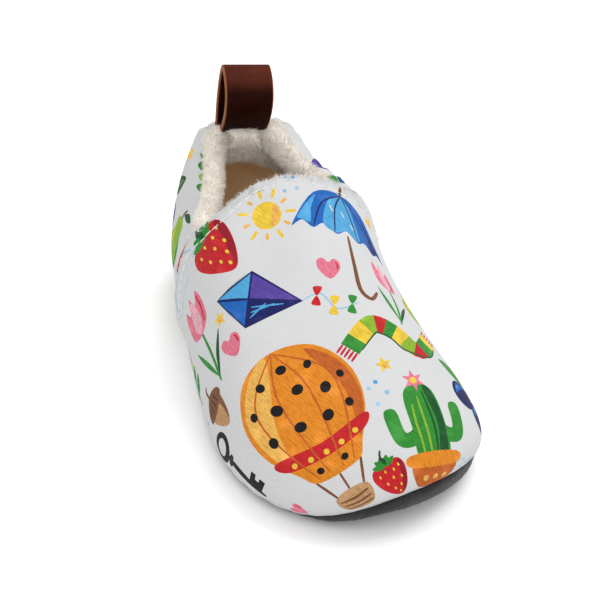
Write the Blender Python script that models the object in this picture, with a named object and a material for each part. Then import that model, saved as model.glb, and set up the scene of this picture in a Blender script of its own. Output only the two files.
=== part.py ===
"""A small child's soft slip-on slipper for the right foot, in metres with +Z up.

The toe points along -Y, the heel along +Y, and the inner side of the foot is +X.
The origin is on the floor, under the middle of the slipper's box.
"""
import math
from collections import namedtuple

import bpy
import numpy as np

# Driving sizes of the last
SOLE_LENGTH = 0.123
BALL_WIDTH = 0.064
INSTEP_HEIGHT = 0.054

# Cloth upper with its fleece pile
WALL = 0.0030
RIM_RISE = 0.0015
FOOT_FLATTEN = 0.25
HEEL_PAD = 0.0046
HEEL_PAD_FULL = 0.055
HEEL_PAD_END = 0.130
HEEL_PAD_START = 0.50

# Sole and insole
GAP = 0.0003
TOE_SPRING = 0.0045
SPRING_START = 0.70
SOLE_ROLL = 0.0025
# Rolled edge from the top down: share of the roll turned in, and share of the sole's height
SOLE_EDGE = ((0.12, 1.00), (0.0, 0.75), (0.02, 0.45), (0.35, 0.14), (1.0, 0.0))
INSOLE_THICKNESS = 0.0020
INSOLE_CLEARANCE = 0.0006

# Leather pull loop
STRAP_WIDTH = 0.0130
STRAP_THICKNESS = 0.0016
LOOP_RISE = 0.0200
LOOP_JOIN = 0.0015
LOOP_OPENING = 0.0084
LOOP_FRONT_SHARE = 0.80
# The teardrop's formula is 0.77 wide, so it is scaled up to the full opening
LOOP_FULLNESS = 1.0 / 0.77
LOOP_TUCK = 0.0035
LOOP_LEAN = math.radians(8)
LOOP_ROLL = math.radians(6)
LOOP_TURN = math.radians(-3)
LOOP_TWIST = math.radians(-4)
LOOP_FORWARD = 0.0002
SLOT_HEADROOM = 0.0060

# How finely the curved pieces are cut
COLUMNS = 96
CLIMB_ROWS = 14
RIM_ANGLES = (math.radians(45), math.radians(90), math.radians(135))
SOLE_STRIPS = 6
LOOP_STEPS = 40
SPLINE_STEP = 1e-4

# Each rib climbs from the sole's edge to the opening through four points, foot, belly, shoulder and top.
# along is a share of the sole's length from the heel, across a share of the ball width from the middle,
# and up a share of the instep height. sole_lip is how far the sole stands out past the foot, in mm.
Rib = namedtuple("Rib", "name foot_along foot_across foot_up belly_along belly_across belly_up "
                 "shoulder_along shoulder_across shoulder_up top_along top_across top_up sole_lip")
OUTER_RIBS = (
    Rib("heel", 0.000, 0.000, 0.060, -0.010, 0.000, 0.295, 0.012, 0.000, 0.575, 0.047, 0.000, 0.860, 0.3),
    Rib("heel_corner", 0.060, 0.250, 0.060, 0.057, 0.280, 0.292, 0.062, 0.252, 0.605, 0.080, 0.172, 0.876, 0.3),
    Rib("quarter", 0.220, 0.320, 0.054, 0.213, 0.386, 0.305, 0.217, 0.338, 0.548, 0.222, 0.215, 0.770, 0.2),
    Rib("seam", 0.400, 0.355, 0.042, 0.385, 0.442, 0.290, 0.366, 0.418, 0.534, 0.354, 0.331, 0.750, 0.0),
    Rib("ball", 0.695, 0.463, 0.050, 0.654, 0.475, 0.310, 0.523, 0.370, 0.648, 0.366, 0.248, 0.910, 0.0),
    Rib("toe_corner", 0.920, 0.280, 0.065, 0.877, 0.330, 0.358, 0.657, 0.248, 0.642, 0.391, 0.085, 0.990, 0.0),
    Rib("toe", 0.991, -0.055, 0.200, 0.955, -0.052, 0.415, 0.730, -0.018, 0.658, 0.394, 0.000, 1.008, 2.4),
)
INNER_RIBS = (
    Rib("toe_corner", 0.917, 0.410, 0.160, 0.874, 0.381, 0.394, 0.668, 0.236, 0.643, 0.391, 0.095, 0.975, 0.2),
    Rib("ball", 0.698, 0.471, 0.068, 0.656, 0.459, 0.281, 0.525, 0.336, 0.588, 0.375, 0.220, 0.893, 0.9),
    Rib("seam", 0.400, 0.349, 0.049, 0.389, 0.411, 0.276, 0.363, 0.407, 0.541, 0.352, 0.328, 0.762, 0.0),
    Rib("quarter", 0.220, 0.318, 0.052, 0.214, 0.373, 0.314, 0.216, 0.366, 0.545, 0.219, 0.216, 0.782, 0.2),
    Rib("heel_corner", 0.060, 0.250, 0.057, 0.055, 0.277, 0.308, 0.063, 0.276, 0.597, 0.084, 0.171, 0.853, 0.3),
)
POINTS_PER_RIB = 4
MILLIMETRE = 0.001

# Linear base colour, roughness and metallic value of each piece
Finish = namedtuple("Finish", "colour roughness metallic")
FINISHES = {
    "outsole": Finish((0.090, 0.090, 0.092), 0.92, 0.0),
    "insole": Finish((0.200, 0.130, 0.075), 0.90, 0.0),
    "upper": Finish((0.780, 0.780, 0.770), 0.85, 0.0),
    "pull_loop": Finish((0.130, 0.036, 0.018), 0.50, 0.0),
}


def smooth(share):
    """Ease from 0 to 1 with level ends."""
    held = np.clip(share, 0.0, 1.0)
    return held * held * (3.0 - 2.0 * held)


def rib_array():
    """All ribs round the slipper, in metres as across, toward the heel and up, with the sole's lip last."""
    rows = []
    for ribs, side in ((OUTER_RIBS, -1.0), (INNER_RIBS, 1.0)):
        for rib in ribs:
            shares = np.array(rib[1:-1]).reshape(POINTS_PER_RIB, 3)
            along, across, up = shares.T
            points = np.stack([across * side * BALL_WIDTH, -along * SOLE_LENGTH, up * INSTEP_HEIGHT], axis=1)
            rows.append(np.append(points.ravel(), rib.sole_lip * MILLIMETRE))
    return np.array(rows)


RIBS = rib_array()


def round_spline(turns):
    """Rib values at any place round the slipper, on a closed cubic spline. turns is 0 at the heel, 0.5 at the toe."""
    count = len(RIBS)
    ones = np.eye(count)
    system = 4.0 * ones + np.roll(ones, 1, axis=0) + np.roll(ones, -1, axis=0)
    slopes = np.linalg.solve(system, 3.0 * (np.roll(RIBS, -1, axis=0) - np.roll(RIBS, 1, axis=0)))
    place = np.mod(turns, 1.0) * count
    first = np.floor(place).astype(int) % count
    second = (first + 1) % count
    f = (place - np.floor(place))[..., None]
    start = (2.0 * f + 1.0) * (1.0 - f) ** 2 * RIBS[first] + f * (1.0 - f) ** 2 * slopes[first]
    end = f * f * (3.0 - 2.0 * f) * RIBS[second] + f * f * (f - 1.0) * slopes[second]
    return start + end


def outside(turns, climb):
    """Point on the upper's outer face. climb is 0 at the sole's edge and 1 at the opening."""
    ribs = round_spline(turns)[..., :-1].reshape(np.shape(turns) + (POINTS_PER_RIB, 3))
    t = np.asarray(climb)[..., None]
    to_foot = (1.0 - 3.0 * t) * (1.0 - 1.5 * t) * (1.0 - t)
    to_belly = 9.0 * t * (1.0 - 1.5 * t) * (1.0 - t)
    to_shoulder = -4.5 * t * (1.0 - 3.0 * t) * (1.0 - t)
    to_top = t * (1.0 - 3.0 * t) * (1.0 - 1.5 * t)
    return (to_foot * ribs[..., 0, :] + to_belly * ribs[..., 1, :]
            + to_shoulder * ribs[..., 2, :] + to_top * ribs[..., 3, :])


def unit(vectors):
    return vectors / np.linalg.norm(vectors, axis=-1, keepdims=True)


def face_normal(turns, climb):
    """Outward normal of the upper, level near the sole so that the wall stands on a flat edge."""
    round_step = outside(turns + SPLINE_STEP, climb) - outside(turns - SPLINE_STEP, climb)
    climb_step = outside(turns, climb + SPLINE_STEP) - outside(turns, climb - SPLINE_STEP)
    normal = unit(np.cross(round_step, climb_step))
    normal[..., 2] *= smooth(climb / FOOT_FLATTEN)
    return unit(normal)


def heel_pad(turns, climb):
    """Extra depth of the wall at the heel's collar, where the loop is sewn in, toward the toe."""
    from_heel = np.abs(np.mod(turns + 0.5, 1.0) - 0.5)
    near_heel = smooth((HEEL_PAD_END - from_heel) / (HEEL_PAD_END - HEEL_PAD_FULL))
    near_top = smooth((climb - HEEL_PAD_START) / (1.0 - HEEL_PAD_START))
    depth = np.zeros(np.shape(turns) + (3,))
    depth[..., 1] = -HEEL_PAD * near_heel * near_top
    return depth


def inside(turns, climb):
    """Point on the upper's inner face."""
    return outside(turns, climb) - face_normal(turns, climb) * WALL + heel_pad(turns, climb)


def rim_rings(turns):
    """Rings over the rounded rim of the opening, from the outer face to the inner one."""
    top = np.ones_like(turns)
    outer = outside(turns, top)
    inner = inside(turns, top)
    rise = unit(outer - outside(turns, top - SPLINE_STEP)) * RIM_RISE
    middle = (outer + inner) / 2.0
    half = (outer - inner) / 2.0
    return [middle + half * math.cos(angle) + rise * math.sin(angle) for angle in RIM_ANGLES]


def column_turns():
    return np.arange(COLUMNS) / COLUMNS


def sole_outline(shift):
    """Sole outline in plan, moved out from the upper's foot by the lip and a further shift."""
    turns = column_turns()
    level = np.zeros_like(turns)
    out = face_normal(turns, level)
    lip = round_spline(turns)[:, -1:]
    return outside(turns, level) + out * (lip + shift)


def underside(toward_heel):
    """Height of the sole's underside, flat from the heel to the ball and sprung at the toe."""
    along = -toward_heel / SOLE_LENGTH
    share = np.clip((along - SPRING_START) / (1.0 - SPRING_START), 0.0, None)
    return TOE_SPRING * share ** 2


def at_height(ring, height):
    moved = ring.copy()
    moved[:, 2] = height
    return moved


def sole_rings():
    """Rings of the rolled sole edge, from its flat top to its underside."""
    foot = sole_outline(0.0)
    top = foot[:, 2] - GAP
    low = sole_outline(-SOLE_ROLL)
    bottom = underside(low[:, 1])
    body = top - bottom
    return [
        at_height(sole_outline(-SOLE_ROLL * share_in), bottom + body * share_up)
        for share_in, share_up in SOLE_EDGE
    ]


def insole_rings():
    """Lower and upper edge of the insole, inside the upper's wall."""
    turns = column_turns()
    level = np.zeros_like(turns)
    edge = inside(turns, level) - face_normal(turns, level) * INSOLE_CLEARANCE
    return [at_height(edge, edge[:, 2] + INSOLE_THICKNESS), edge]


def new_object(name, vertices, faces):
    """A smooth-shaded mesh object with its own finish."""
    mesh = bpy.data.meshes.new(name)
    mesh.from_pydata([tuple(vertex) for vertex in vertices], [], faces)
    mesh.shade_smooth()
    mesh.set_sharp_from_angle(angle=math.radians(40))
    finish = FINISHES[name]
    material = bpy.data.materials.new(name)
    material.use_nodes = True
    shader = material.node_tree.nodes["Principled BSDF"]
    shader.inputs["Base Color"].default_value = (*finish.colour, 1.0)
    shader.inputs["Roughness"].default_value = finish.roughness
    shader.inputs["Metallic"].default_value = finish.metallic
    mesh.materials.append(material)
    piece = bpy.data.objects.new(name, mesh)
    bpy.context.collection.objects.link(piece)
    return piece


def band_faces(ring_starts, count):
    """Quads between rings of the same count, each ring given by its first vertex."""
    faces = []
    for low, high in zip(ring_starts, ring_starts[1:]):
        for k in range(count):
            after = (k + 1) % count
            faces.append((low + k, low + after, high + after, high + k))
    return faces


def make_upper():
    """One hollow wall, open at the collar and underneath."""
    turns = column_turns()
    climbs = np.linspace(0.0, 1.0, CLIMB_ROWS + 1)
    rings = [outside(turns, np.full_like(turns, climb)) for climb in climbs]
    rings += rim_rings(turns)
    rings += [inside(turns, np.full_like(turns, climb)) for climb in reversed(climbs)]
    starts = [k * COLUMNS for k in range(len(rings))]
    return new_object("upper", np.concatenate(rings), band_faces(starts + starts[:1], COLUMNS))


def disc_rows(ring, first_index, vertices):
    """Vertex rows that cross a closed ring from its outer side to its inner side, adding the points between."""
    rows = []
    for k in range(COLUMNS // 2 + 1):
        across = (COLUMNS - k) % COLUMNS
        row = [first_index + k]
        if across != k:
            for step in range(1, SOLE_STRIPS):
                share = step / SOLE_STRIPS
                vertices.append(ring[k] * (1.0 - share) + ring[across] * share)
                row.append(len(vertices) - 1)
            row.append(first_index + across)
        rows.append(row)
    return rows


def disc_faces(rows, facing_up):
    """Faces between neighbouring rows. The first and last rows are single points."""
    faces = []
    for near, far in zip(rows, rows[1:]):
        for k in range(SOLE_STRIPS):
            near_pair = [near[min(k, len(near) - 1)], near[min(k + 1, len(near) - 1)]]
            far_pair = [far[min(k, len(far) - 1)], far[min(k + 1, len(far) - 1)]]
            corners = list(dict.fromkeys([near_pair[0], far_pair[0], far_pair[1], near_pair[1]]))
            if not facing_up:
                corners.reverse()
            faces.append(tuple(corners))
    return faces


def make_flat_piece(name, rings):
    """A closed piece with a filled top and bottom, from rings listed from its top edge down."""
    vertices = [vertex for ring in rings for vertex in ring]
    starts = [k * COLUMNS for k in range(len(rings))]
    faces = band_faces(starts[::-1], COLUMNS)
    faces += disc_faces(disc_rows(rings[0], starts[0], vertices), True)
    faces += disc_faces(disc_rows(rings[-1], starts[-1], vertices), False)
    return new_object(name, vertices, faces)


def loop_section():
    """Side view of the loop as (forward or back, up) points: a teardrop and the strap round it."""
    turn = np.linspace(0.0, 2.0 * math.pi, LOOP_STEPS + 1)
    height = LOOP_RISE - STRAP_THICKNESS - LOOP_JOIN
    reach = LOOP_OPENING * LOOP_FULLNESS * np.where(turn < math.pi, LOOP_FRONT_SHARE, 1.0 - LOOP_FRONT_SHARE)
    back = -reach * np.sin(turn) * np.sin(turn / 2.0)
    up = LOOP_JOIN + height * (1.0 - np.cos(turn)) / 2.0
    inner = np.stack([back, up], axis=1)
    steps = np.gradient(inner, axis=0)
    steps[0] = inner[1] - inner[0]
    steps[-1] = inner[-1] - inner[-2]
    steps = unit(steps)
    outer = inner + np.stack([-steps[:, 1], steps[:, 0]], axis=1) * STRAP_THICKNESS
    return inner[:-1], outer


def make_loop():
    """A folded strap, its two ends lying together and tucked into the heel's collar."""
    inner, outer = loop_section()
    feet = np.array([(outer[-1][0], -LOOP_TUCK), (outer[0][0], -LOOP_TUCK)])
    outline = np.concatenate([outer, feet])
    side_count = len(inner) + len(outline)
    vertices = []
    for side in (-STRAP_WIDTH / 2.0, STRAP_WIDTH / 2.0):
        for back, up in np.concatenate([inner, outline]):
            twist = LOOP_TWIST * smooth(up / LOOP_RISE)
            across = side * math.cos(twist) - back * math.sin(twist)
            vertices.append((across, side * math.sin(twist) + back * math.cos(twist), up))
    hole = len(inner)
    faces = []
    for k in range(LOOP_STEPS):
        after = (k + 1) % hole
        faces.append((hole + k, hole + k + 1, after, k))
        faces.append((side_count + hole + k + 1, side_count + hole + k, side_count + k, side_count + after))
        faces.append((after, side_count + after, side_count + k, k))
    rim = len(outline)
    for k in range(rim):
        after = (k + 1) % rim
        faces.append((hole + k, side_count + hole + k, side_count + hole + after, hole + after))
    last = hole + LOOP_STEPS
    base = (0, last, last + 1, last + 2, hole)
    faces.append(base)
    faces.append(tuple(side_count + corner for corner in reversed(base)))
    return new_object("pull_loop", vertices, faces)


def make_slot_cutter():
    """The pocket for the loop's ends, a gap wider than they are all round."""
    half_width = STRAP_WIDTH / 2.0 + GAP
    half_depth = STRAP_THICKNESS + GAP
    bottom = -LOOP_TUCK - GAP
    bpy.ops.mesh.primitive_cube_add(size=1.0)
    cutter = bpy.context.object
    cutter.name = "loop_slot"
    for vertex in cutter.data.vertices:
        vertex.co.x *= 2.0 * half_width
        vertex.co.y *= 2.0 * half_depth
        vertex.co.z = SLOT_HEADROOM if vertex.co.z > 0.0 else bottom
    cutter.hide_render = True
    cutter.display_type = "WIRE"
    return cutter


def heel_rim():
    """Crest of the rim at the middle of the heel."""
    heel = np.zeros(1)
    return rim_rings(heel)[len(RIM_ANGLES) // 2][0]


def seat_in_heel(piece):
    """Put a piece of the loop on the heel's rim, leaning a little forward."""
    across, back, up = heel_rim()
    piece.location = (across, back - LOOP_FORWARD, up)
    piece.rotation_euler = (LOOP_LEAN, LOOP_ROLL, LOOP_TURN)


def centre_under(pieces):
    """Parent the pieces to an empty that puts the middle of their box over the origin, on the floor."""
    bpy.context.view_layer.update()
    corners = np.array([piece.matrix_world @ vertex.co for piece in pieces for vertex in piece.data.vertices])
    low = corners.min(axis=0)
    high = corners.max(axis=0)
    middle = bpy.data.objects.new("slipper", None)
    bpy.context.collection.objects.link(middle)
    middle.location = (-(low[0] + high[0]) / 2.0, -(low[1] + high[1]) / 2.0, -low[2])
    return middle


def main():
    for old in list(bpy.data.objects):
        bpy.data.objects.remove(old, do_unlink=True)
    outsole = make_flat_piece("outsole", sole_rings())
    insole = make_flat_piece("insole", insole_rings())
    upper = make_upper()
    loop = make_loop()
    cutter = make_slot_cutter()
    seat_in_heel(loop)
    seat_in_heel(cutter)
    slot = upper.modifiers.new("loop_slot", "BOOLEAN")
    slot.operation = "DIFFERENCE"
    slot.solver = "EXACT"
    slot.object = cutter
    pieces = (outsole, insole, upper, loop)
    middle = centre_under(pieces)
    for piece in pieces + (cutter,):
        piece.parent = middle


main()
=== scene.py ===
"""Looks of a small child's soft slip-on slipper, laid out as an add-on and run as a script.

Metres, +Z up. The toe points along -Y and the inner side of the foot is +X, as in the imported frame.
"""
import math
from collections import namedtuple

import bpy
import numpy as np
from bpy.props import FloatProperty, FloatVectorProperty, PointerProperty
from mathutils import Euler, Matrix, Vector
from mathutils import noise as field
from mathutils.bvhtree import BVHTree
from mathutils.geometry import delaunay_2d_cdt


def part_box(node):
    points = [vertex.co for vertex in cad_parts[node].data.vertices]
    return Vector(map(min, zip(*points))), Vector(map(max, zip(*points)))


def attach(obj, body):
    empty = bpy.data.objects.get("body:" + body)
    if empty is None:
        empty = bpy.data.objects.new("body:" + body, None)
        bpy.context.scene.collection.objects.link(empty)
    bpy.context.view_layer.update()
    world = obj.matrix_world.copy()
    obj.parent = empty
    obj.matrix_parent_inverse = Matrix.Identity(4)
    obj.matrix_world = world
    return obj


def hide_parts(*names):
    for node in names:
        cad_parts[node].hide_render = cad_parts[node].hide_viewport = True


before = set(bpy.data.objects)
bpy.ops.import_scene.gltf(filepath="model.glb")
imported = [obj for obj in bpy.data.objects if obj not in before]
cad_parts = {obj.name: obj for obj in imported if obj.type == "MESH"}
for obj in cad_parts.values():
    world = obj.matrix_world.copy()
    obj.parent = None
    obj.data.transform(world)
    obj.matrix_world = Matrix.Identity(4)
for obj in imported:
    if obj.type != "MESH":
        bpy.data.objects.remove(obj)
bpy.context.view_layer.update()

bl_info = {
    "name": "Soft slipper",
    "version": (1, 0, 0),
    "blender": (4, 5, 0),
    "location": "3D View > Sidebar > Slipper",
    "description": "Cloth, fleece, leather and suede of a small child's slip-on slipper",
    "category": "Object",
}

BODY = "root"
MILLIMETRE = 0.001
FULL_TURN = 2.0 * math.pi

# Each rib climbs from the sole's edge to the opening through four points, foot, belly, shoulder and top.
# along is a share of the sole's length from the heel, across a share of the ball width from the middle,
# and up a share of the instep height. sole_lip is how far the sole stands out past the foot, in mm.
Rib = namedtuple("Rib", "name foot_along foot_across foot_up belly_along belly_across belly_up "
                 "shoulder_along shoulder_across shoulder_up top_along top_across top_up sole_lip")
OUTER_RIBS = (
    Rib("heel", 0.0, 0.0, 0.06, -0.01, 0.0, 0.295, 0.012, 0.0, 0.575, 0.047, 0.0, 0.86, 0.3),
    Rib("heel_bend", 0.06, 0.25, 0.06, 0.057, 0.28, 0.292, 0.062, 0.252, 0.605, 0.08, 0.172, 0.876, 0.3),
    Rib("quarter", 0.22, 0.32, 0.054, 0.213, 0.386, 0.305, 0.217, 0.338, 0.548, 0.222, 0.215, 0.77, 0.2),
    Rib("seam", 0.4, 0.355, 0.042, 0.385, 0.442, 0.29, 0.366, 0.418, 0.534, 0.354, 0.331, 0.75, 0.0),
    Rib("ball", 0.695, 0.463, 0.05, 0.654, 0.475, 0.31, 0.523, 0.37, 0.648, 0.366, 0.248, 0.91, 0.0),
    Rib("toe_corner", 0.92, 0.28, 0.065, 0.877, 0.33, 0.358, 0.657, 0.248, 0.642, 0.391, 0.085, 0.99, 0.0),
    Rib("toe", 0.991, -0.055, 0.2, 0.955, -0.052, 0.415, 0.73, -0.018, 0.658, 0.394, 0.0, 1.008, 2.4),
)
INNER_RIBS = (
    Rib("toe_corner", 0.917, 0.41, 0.16, 0.874, 0.381, 0.394, 0.668, 0.236, 0.643, 0.391, 0.095, 0.975, 0.2),
    Rib("ball", 0.698, 0.471, 0.068, 0.656, 0.459, 0.281, 0.525, 0.336, 0.588, 0.375, 0.22, 0.893, 0.9),
    Rib("seam", 0.4, 0.349, 0.049, 0.389, 0.411, 0.276, 0.363, 0.407, 0.541, 0.352, 0.328, 0.762, 0.0),
    Rib("quarter", 0.22, 0.318, 0.052, 0.214, 0.373, 0.314, 0.216, 0.366, 0.545, 0.219, 0.216, 0.782, 0.2),
    Rib("heel_bend", 0.06, 0.25, 0.057, 0.055, 0.277, 0.308, 0.063, 0.276, 0.597, 0.084, 0.171, 0.853, 0.3),
)
POINTS_PER_RIB = 4
SPLINE_STEP = 1e-4
FORM_COLUMNS = 96
FORM_ROWS = 14

# Wall and heel pad of the upper, as its solid has them
WALL = 0.0030
RIM_RISE = 0.0015
THROAT_RIM_RISE = 0.0003
FOOT_FLATTEN = 0.25
HEEL_PAD = 0.0046
HEEL_PAD_FULL = 0.055
HEEL_PAD_END = 0.130
HEEL_PAD_START = 0.50

# Sole, as its solid has it
TOE_SPRING = 0.0045
SPRING_START = 0.70
SOLE_ROLL = 0.0025

# Where the vamp meets the back panel, in turns round the slipper from the heel
OUTER_SEAM = 0.25
INNER_SEAM = 0.75
RIM_EASE = 0.04

# Climb past the opening's edge that takes the cloth over the rim, and the angle that it reaches there
RIM_CLIMB = 0.065
RIM_TURN = math.radians(100)

# Where the opening's edge falls toward the outer seam, in turns, and how much of the climb it loses
DIP = 0.065
DIP_START = 0.235
DIP_FULL = 0.285
DIP_EASE = 0.32
DIP_END = 0.41

# Soft troughs and ridges pressed into the cloth by wear.
# turn and climb say where, the reaches how far, lean how it slants, and depth is in mm, inward if positive.
Crease = namedtuple("Crease", "name turn climb turn_reach climb_reach lean depth")
CREASES = (
    Crease("inner hollow", 0.655, 0.62, 0.050, 0.20, 0.10, 0.7),
    Crease("outer flank", 0.330, 0.36, 0.040, 0.16, -0.08, 0.6),
    Crease("throat press", 0.545, 0.86, 0.050, 0.09, 0.20, 0.5),
    Crease("toe fold", 0.470, 0.22, 0.050, 0.06, 0.15, 0.5),
    Crease("toe ridge", 0.520, 0.34, 0.060, 0.07, 0.05, -0.4),
    Crease("outer quarter", 0.180, 0.60, 0.020, 0.20, 0.03, 0.6),
    Crease("inner quarter", 0.830, 0.58, 0.022, 0.22, -0.03, 0.6),
    Crease("heel dimple", 0.020, 0.45, 0.030, 0.16, 0.00, 0.5),
)


def measure(name, description, default):
    """A size in metres."""
    return FloatProperty(name=name, description=description, default=default, unit="LENGTH")


def tint(name, description, default):
    """A linear colour."""
    return FloatVectorProperty(name=name, description=description, default=default, subtype="COLOR",
                               min=0.0, max=1.0)


class SlipperSizes(bpy.types.PropertyGroup):
    """Sizes that a maker would change."""

    sole_length: measure("Sole length", "From heel to toe", 0.123)
    ball_width: measure("Ball width", "Width at the ball of the foot", 0.064)
    instep_height: measure("Instep height", "Height of the throat", 0.054)
    cloth_lift: measure("Cloth lift", "How far the cloth lies off the form", 0.0003)
    vamp_lap: measure("Vamp lap", "How far the vamp's edge stands off the back panel", 0.0009)
    stitch_inset: measure("Stitch inset", "Top stitching from the vamp's edge", 0.0048)
    stitch_pitch: measure("Stitch pitch", "From stitch to stitch", 0.0027)
    thread: measure("Thread", "Thread thickness", 0.00034)
    fleece_band: FloatProperty(
        name="Fleece band", description="Climb at which the fleece inside the collar begins", default=0.85,
        min=0.1, max=0.95)
    fleece_pile: measure("Fleece pile", "Depth of the fleece past the wall", 0.0036)
    strap_width: measure("Strap width", "Width of the pull loop", 0.013)
    strap_thickness: measure("Strap thickness", "Thickness of the pull loop's leather", 0.0016)
    loop_rise: measure("Loop rise", "Height of the pull loop over the collar", 0.02)


class SlipperColours(bpy.types.PropertyGroup):
    """Linear colours of the finishes."""

    cloth: tint("Cloth", "Bare cloth", (0.545, 0.548, 0.552))
    fleece: tint("Fleece", "Lining pile", (0.89, 0.845, 0.78))
    lining: tint("Lining", "Smooth lining and insole", (0.90, 0.68, 0.44))
    leather: tint("Leather", "Pull loop", (0.0105, 0.0013, 0.0005))
    suede: tint("Suede", "Sole", (0.021, 0.021, 0.0215))
    thread: tint("Thread", "Top stitching", (0.68, 0.68, 0.70))


def smooth(share):
    """Ease from 0 to 1 with level ends."""
    held = np.clip(share, 0.0, 1.0)
    return held * held * (3.0 - 2.0 * held)


def unit(vectors):
    return vectors / np.linalg.norm(vectors, axis=-1, keepdims=True)


def from_heel(turns):
    """Turns away from the middle of the heel, either way."""
    return np.abs(np.mod(turns + 0.5, 1.0) - 0.5)


def from_toe(turns):
    """Turns away from the middle of the toe, either way."""
    return np.abs(np.mod(turns, 1.0) - 0.5)


def on_inner_side(turns):
    """Whether a place is on the inner side of the foot."""
    return np.mod(turns, 1.0) > 0.5


def at_back(turns, reach):
    """1 on the back panel and 0 on the vamp, easing over a reach in turns."""
    return smooth((OUTER_SEAM + reach / 2.0 - from_heel(turns)) / reach)


def dipped(turns):
    """Share of the climb left after the dip of the opening's edge."""
    place = np.mod(turns, 1.0)
    fall = smooth((place - DIP_START) / (DIP_FULL - DIP_START))
    rise = smooth((place - DIP_EASE) / (DIP_END - DIP_EASE))
    return 1.0 - DIP * fall * (1.0 - rise)


class Last:
    """The slipper's form, a wall that climbs from the sole's edge to the opening all the way round.

    turns is 0 at the heel and 0.5 at the toe. climb is 0 at the sole's edge and 1 at the opening.
    """

    def __init__(self, sizes):
        self.length = sizes.sole_length
        rows = []
        for ribs, side in ((OUTER_RIBS, -1.0), (INNER_RIBS, 1.0)):
            for rib in ribs:
                shares = np.array(rib[1:-1]).reshape(POINTS_PER_RIB, 3)
                along, across, up = shares.T
                points = np.stack([across * side * sizes.ball_width, -along * sizes.sole_length,
                                   up * sizes.instep_height], axis=1)
                rows.append(np.append(points.ravel(), rib.sole_lip * MILLIMETRE))
        self.ribs = np.array(rows)
        ones = np.eye(len(self.ribs))
        system = 4.0 * ones + np.roll(ones, 1, axis=0) + np.roll(ones, -1, axis=0)
        spread = np.roll(self.ribs, -1, axis=0) - np.roll(self.ribs, 1, axis=0)
        self.slopes = np.linalg.solve(system, 3.0 * spread)
        self.shift = np.zeros(3)
        turns, climbs = np.meshgrid(np.arange(FORM_COLUMNS) / FORM_COLUMNS,
                                    np.linspace(0.0, 1.0, FORM_ROWS + 1))
        low = self.outside(turns, climbs).reshape(-1, 3).min(axis=0)
        self.shift = np.array(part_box("upper")[0]) - low

    def rib_values(self, turns):
        count = len(self.ribs)
        place = np.mod(turns, 1.0) * count
        first = np.floor(place).astype(int) % count
        second = (first + 1) % count
        f = (place - np.floor(place))[..., None]
        start = (2.0 * f + 1.0) * (1.0 - f) ** 2 * self.ribs[first] + f * (1.0 - f) ** 2 * self.slopes[first]
        end = f * f * (3.0 - 2.0 * f) * self.ribs[second] + f * f * (f - 1.0) * self.slopes[second]
        return start + end

    def outside(self, turns, climb):
        """Point on the outer face of the wall."""
        ribs = self.rib_values(turns)[..., :-1].reshape(np.shape(turns) + (POINTS_PER_RIB, 3))
        t = (climb * dipped(turns))[..., None]
        to_foot = (1.0 - 3.0 * t) * (1.0 - 1.5 * t) * (1.0 - t)
        to_belly = 9.0 * t * (1.0 - 1.5 * t) * (1.0 - t)
        to_shoulder = -4.5 * t * (1.0 - 3.0 * t) * (1.0 - t)
        to_top = t * (1.0 - 3.0 * t) * (1.0 - 1.5 * t)
        return (to_foot * ribs[..., 0, :] + to_belly * ribs[..., 1, :]
                + to_shoulder * ribs[..., 2, :] + to_top * ribs[..., 3, :]) + self.shift

    def normal(self, turns, climb):
        """Outward normal of the outer face."""
        round_step = self.outside(turns + SPLINE_STEP, climb) - self.outside(turns - SPLINE_STEP, climb)
        climb_step = self.outside(turns, climb + SPLINE_STEP) - self.outside(turns, climb - SPLINE_STEP)
        return unit(np.cross(round_step, climb_step))

    def level_normal(self, turns, climb):
        """Normal that turns level near the sole, as the solid's wall has it."""
        normal = self.normal(turns, climb)
        normal[..., 2] *= smooth(np.asarray(climb) / FOOT_FLATTEN)
        return unit(normal)

    def inside(self, turns, climb, wall=WALL):
        """Point on the inner face of a wall of that thickness, with the heel pad."""
        near_heel = smooth((HEEL_PAD_END - from_heel(turns)) / (HEEL_PAD_END - HEEL_PAD_FULL))
        near_top = smooth((climb - HEEL_PAD_START) / (1.0 - HEEL_PAD_START))
        point = self.outside(turns, climb) - self.level_normal(turns, climb) * np.asarray(wall)[..., None]
        point[..., 1] -= HEEL_PAD * near_heel * near_top
        return point

    def rise(self, turns):
        """Direction in which the wall climbs at the opening."""
        top = np.ones_like(turns)
        return unit(self.outside(turns, top) - self.outside(turns, top - SPLINE_STEP))

    def rim(self, turns, angle):
        """Point on the rounded rim, at angle 0 on the outer face and pi on the inner one."""
        top = np.ones_like(turns)
        outer = self.outside(turns, top)
        inner = self.inside(turns, top)
        half = (outer - inner) / 2.0
        height = THROAT_RIM_RISE + (RIM_RISE - THROAT_RIM_RISE) * at_back(turns, RIM_EASE)
        crest = self.rise(turns) * height[..., None]
        return inner + half + half * np.cos(angle)[..., None] + crest * np.sin(angle)[..., None]

    def rim_out(self, turns, angle):
        """Direction away from the rim."""
        level = self.normal(turns, np.ones_like(turns))
        return unit(level * np.cos(angle)[..., None] + self.rise(turns) * np.sin(angle)[..., None])

    def wall(self, turns, climb):
        """Point on the outer face, and past climb 1 on over the rim."""
        over = np.clip(climb - 1.0, 0.0, None) / RIM_CLIMB * RIM_TURN
        face = self.outside(turns, np.minimum(climb, 1.0))
        return np.where((over > 0.0)[..., None], self.rim(turns, over), face)

    def wall_out(self, turns, climb):
        """Direction away from the outer face and the rim."""
        over = np.clip(climb - 1.0, 0.0, None) / RIM_CLIMB * RIM_TURN
        face = self.normal(turns, np.minimum(climb, 1.0))
        return np.where((over > 0.0)[..., None], self.rim_out(turns, over), face)

    def heel_rim(self):
        """Crest of the rim at the middle of the heel."""
        return self.rim(np.zeros(1), np.full(1, math.pi / 2.0))[0]

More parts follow.
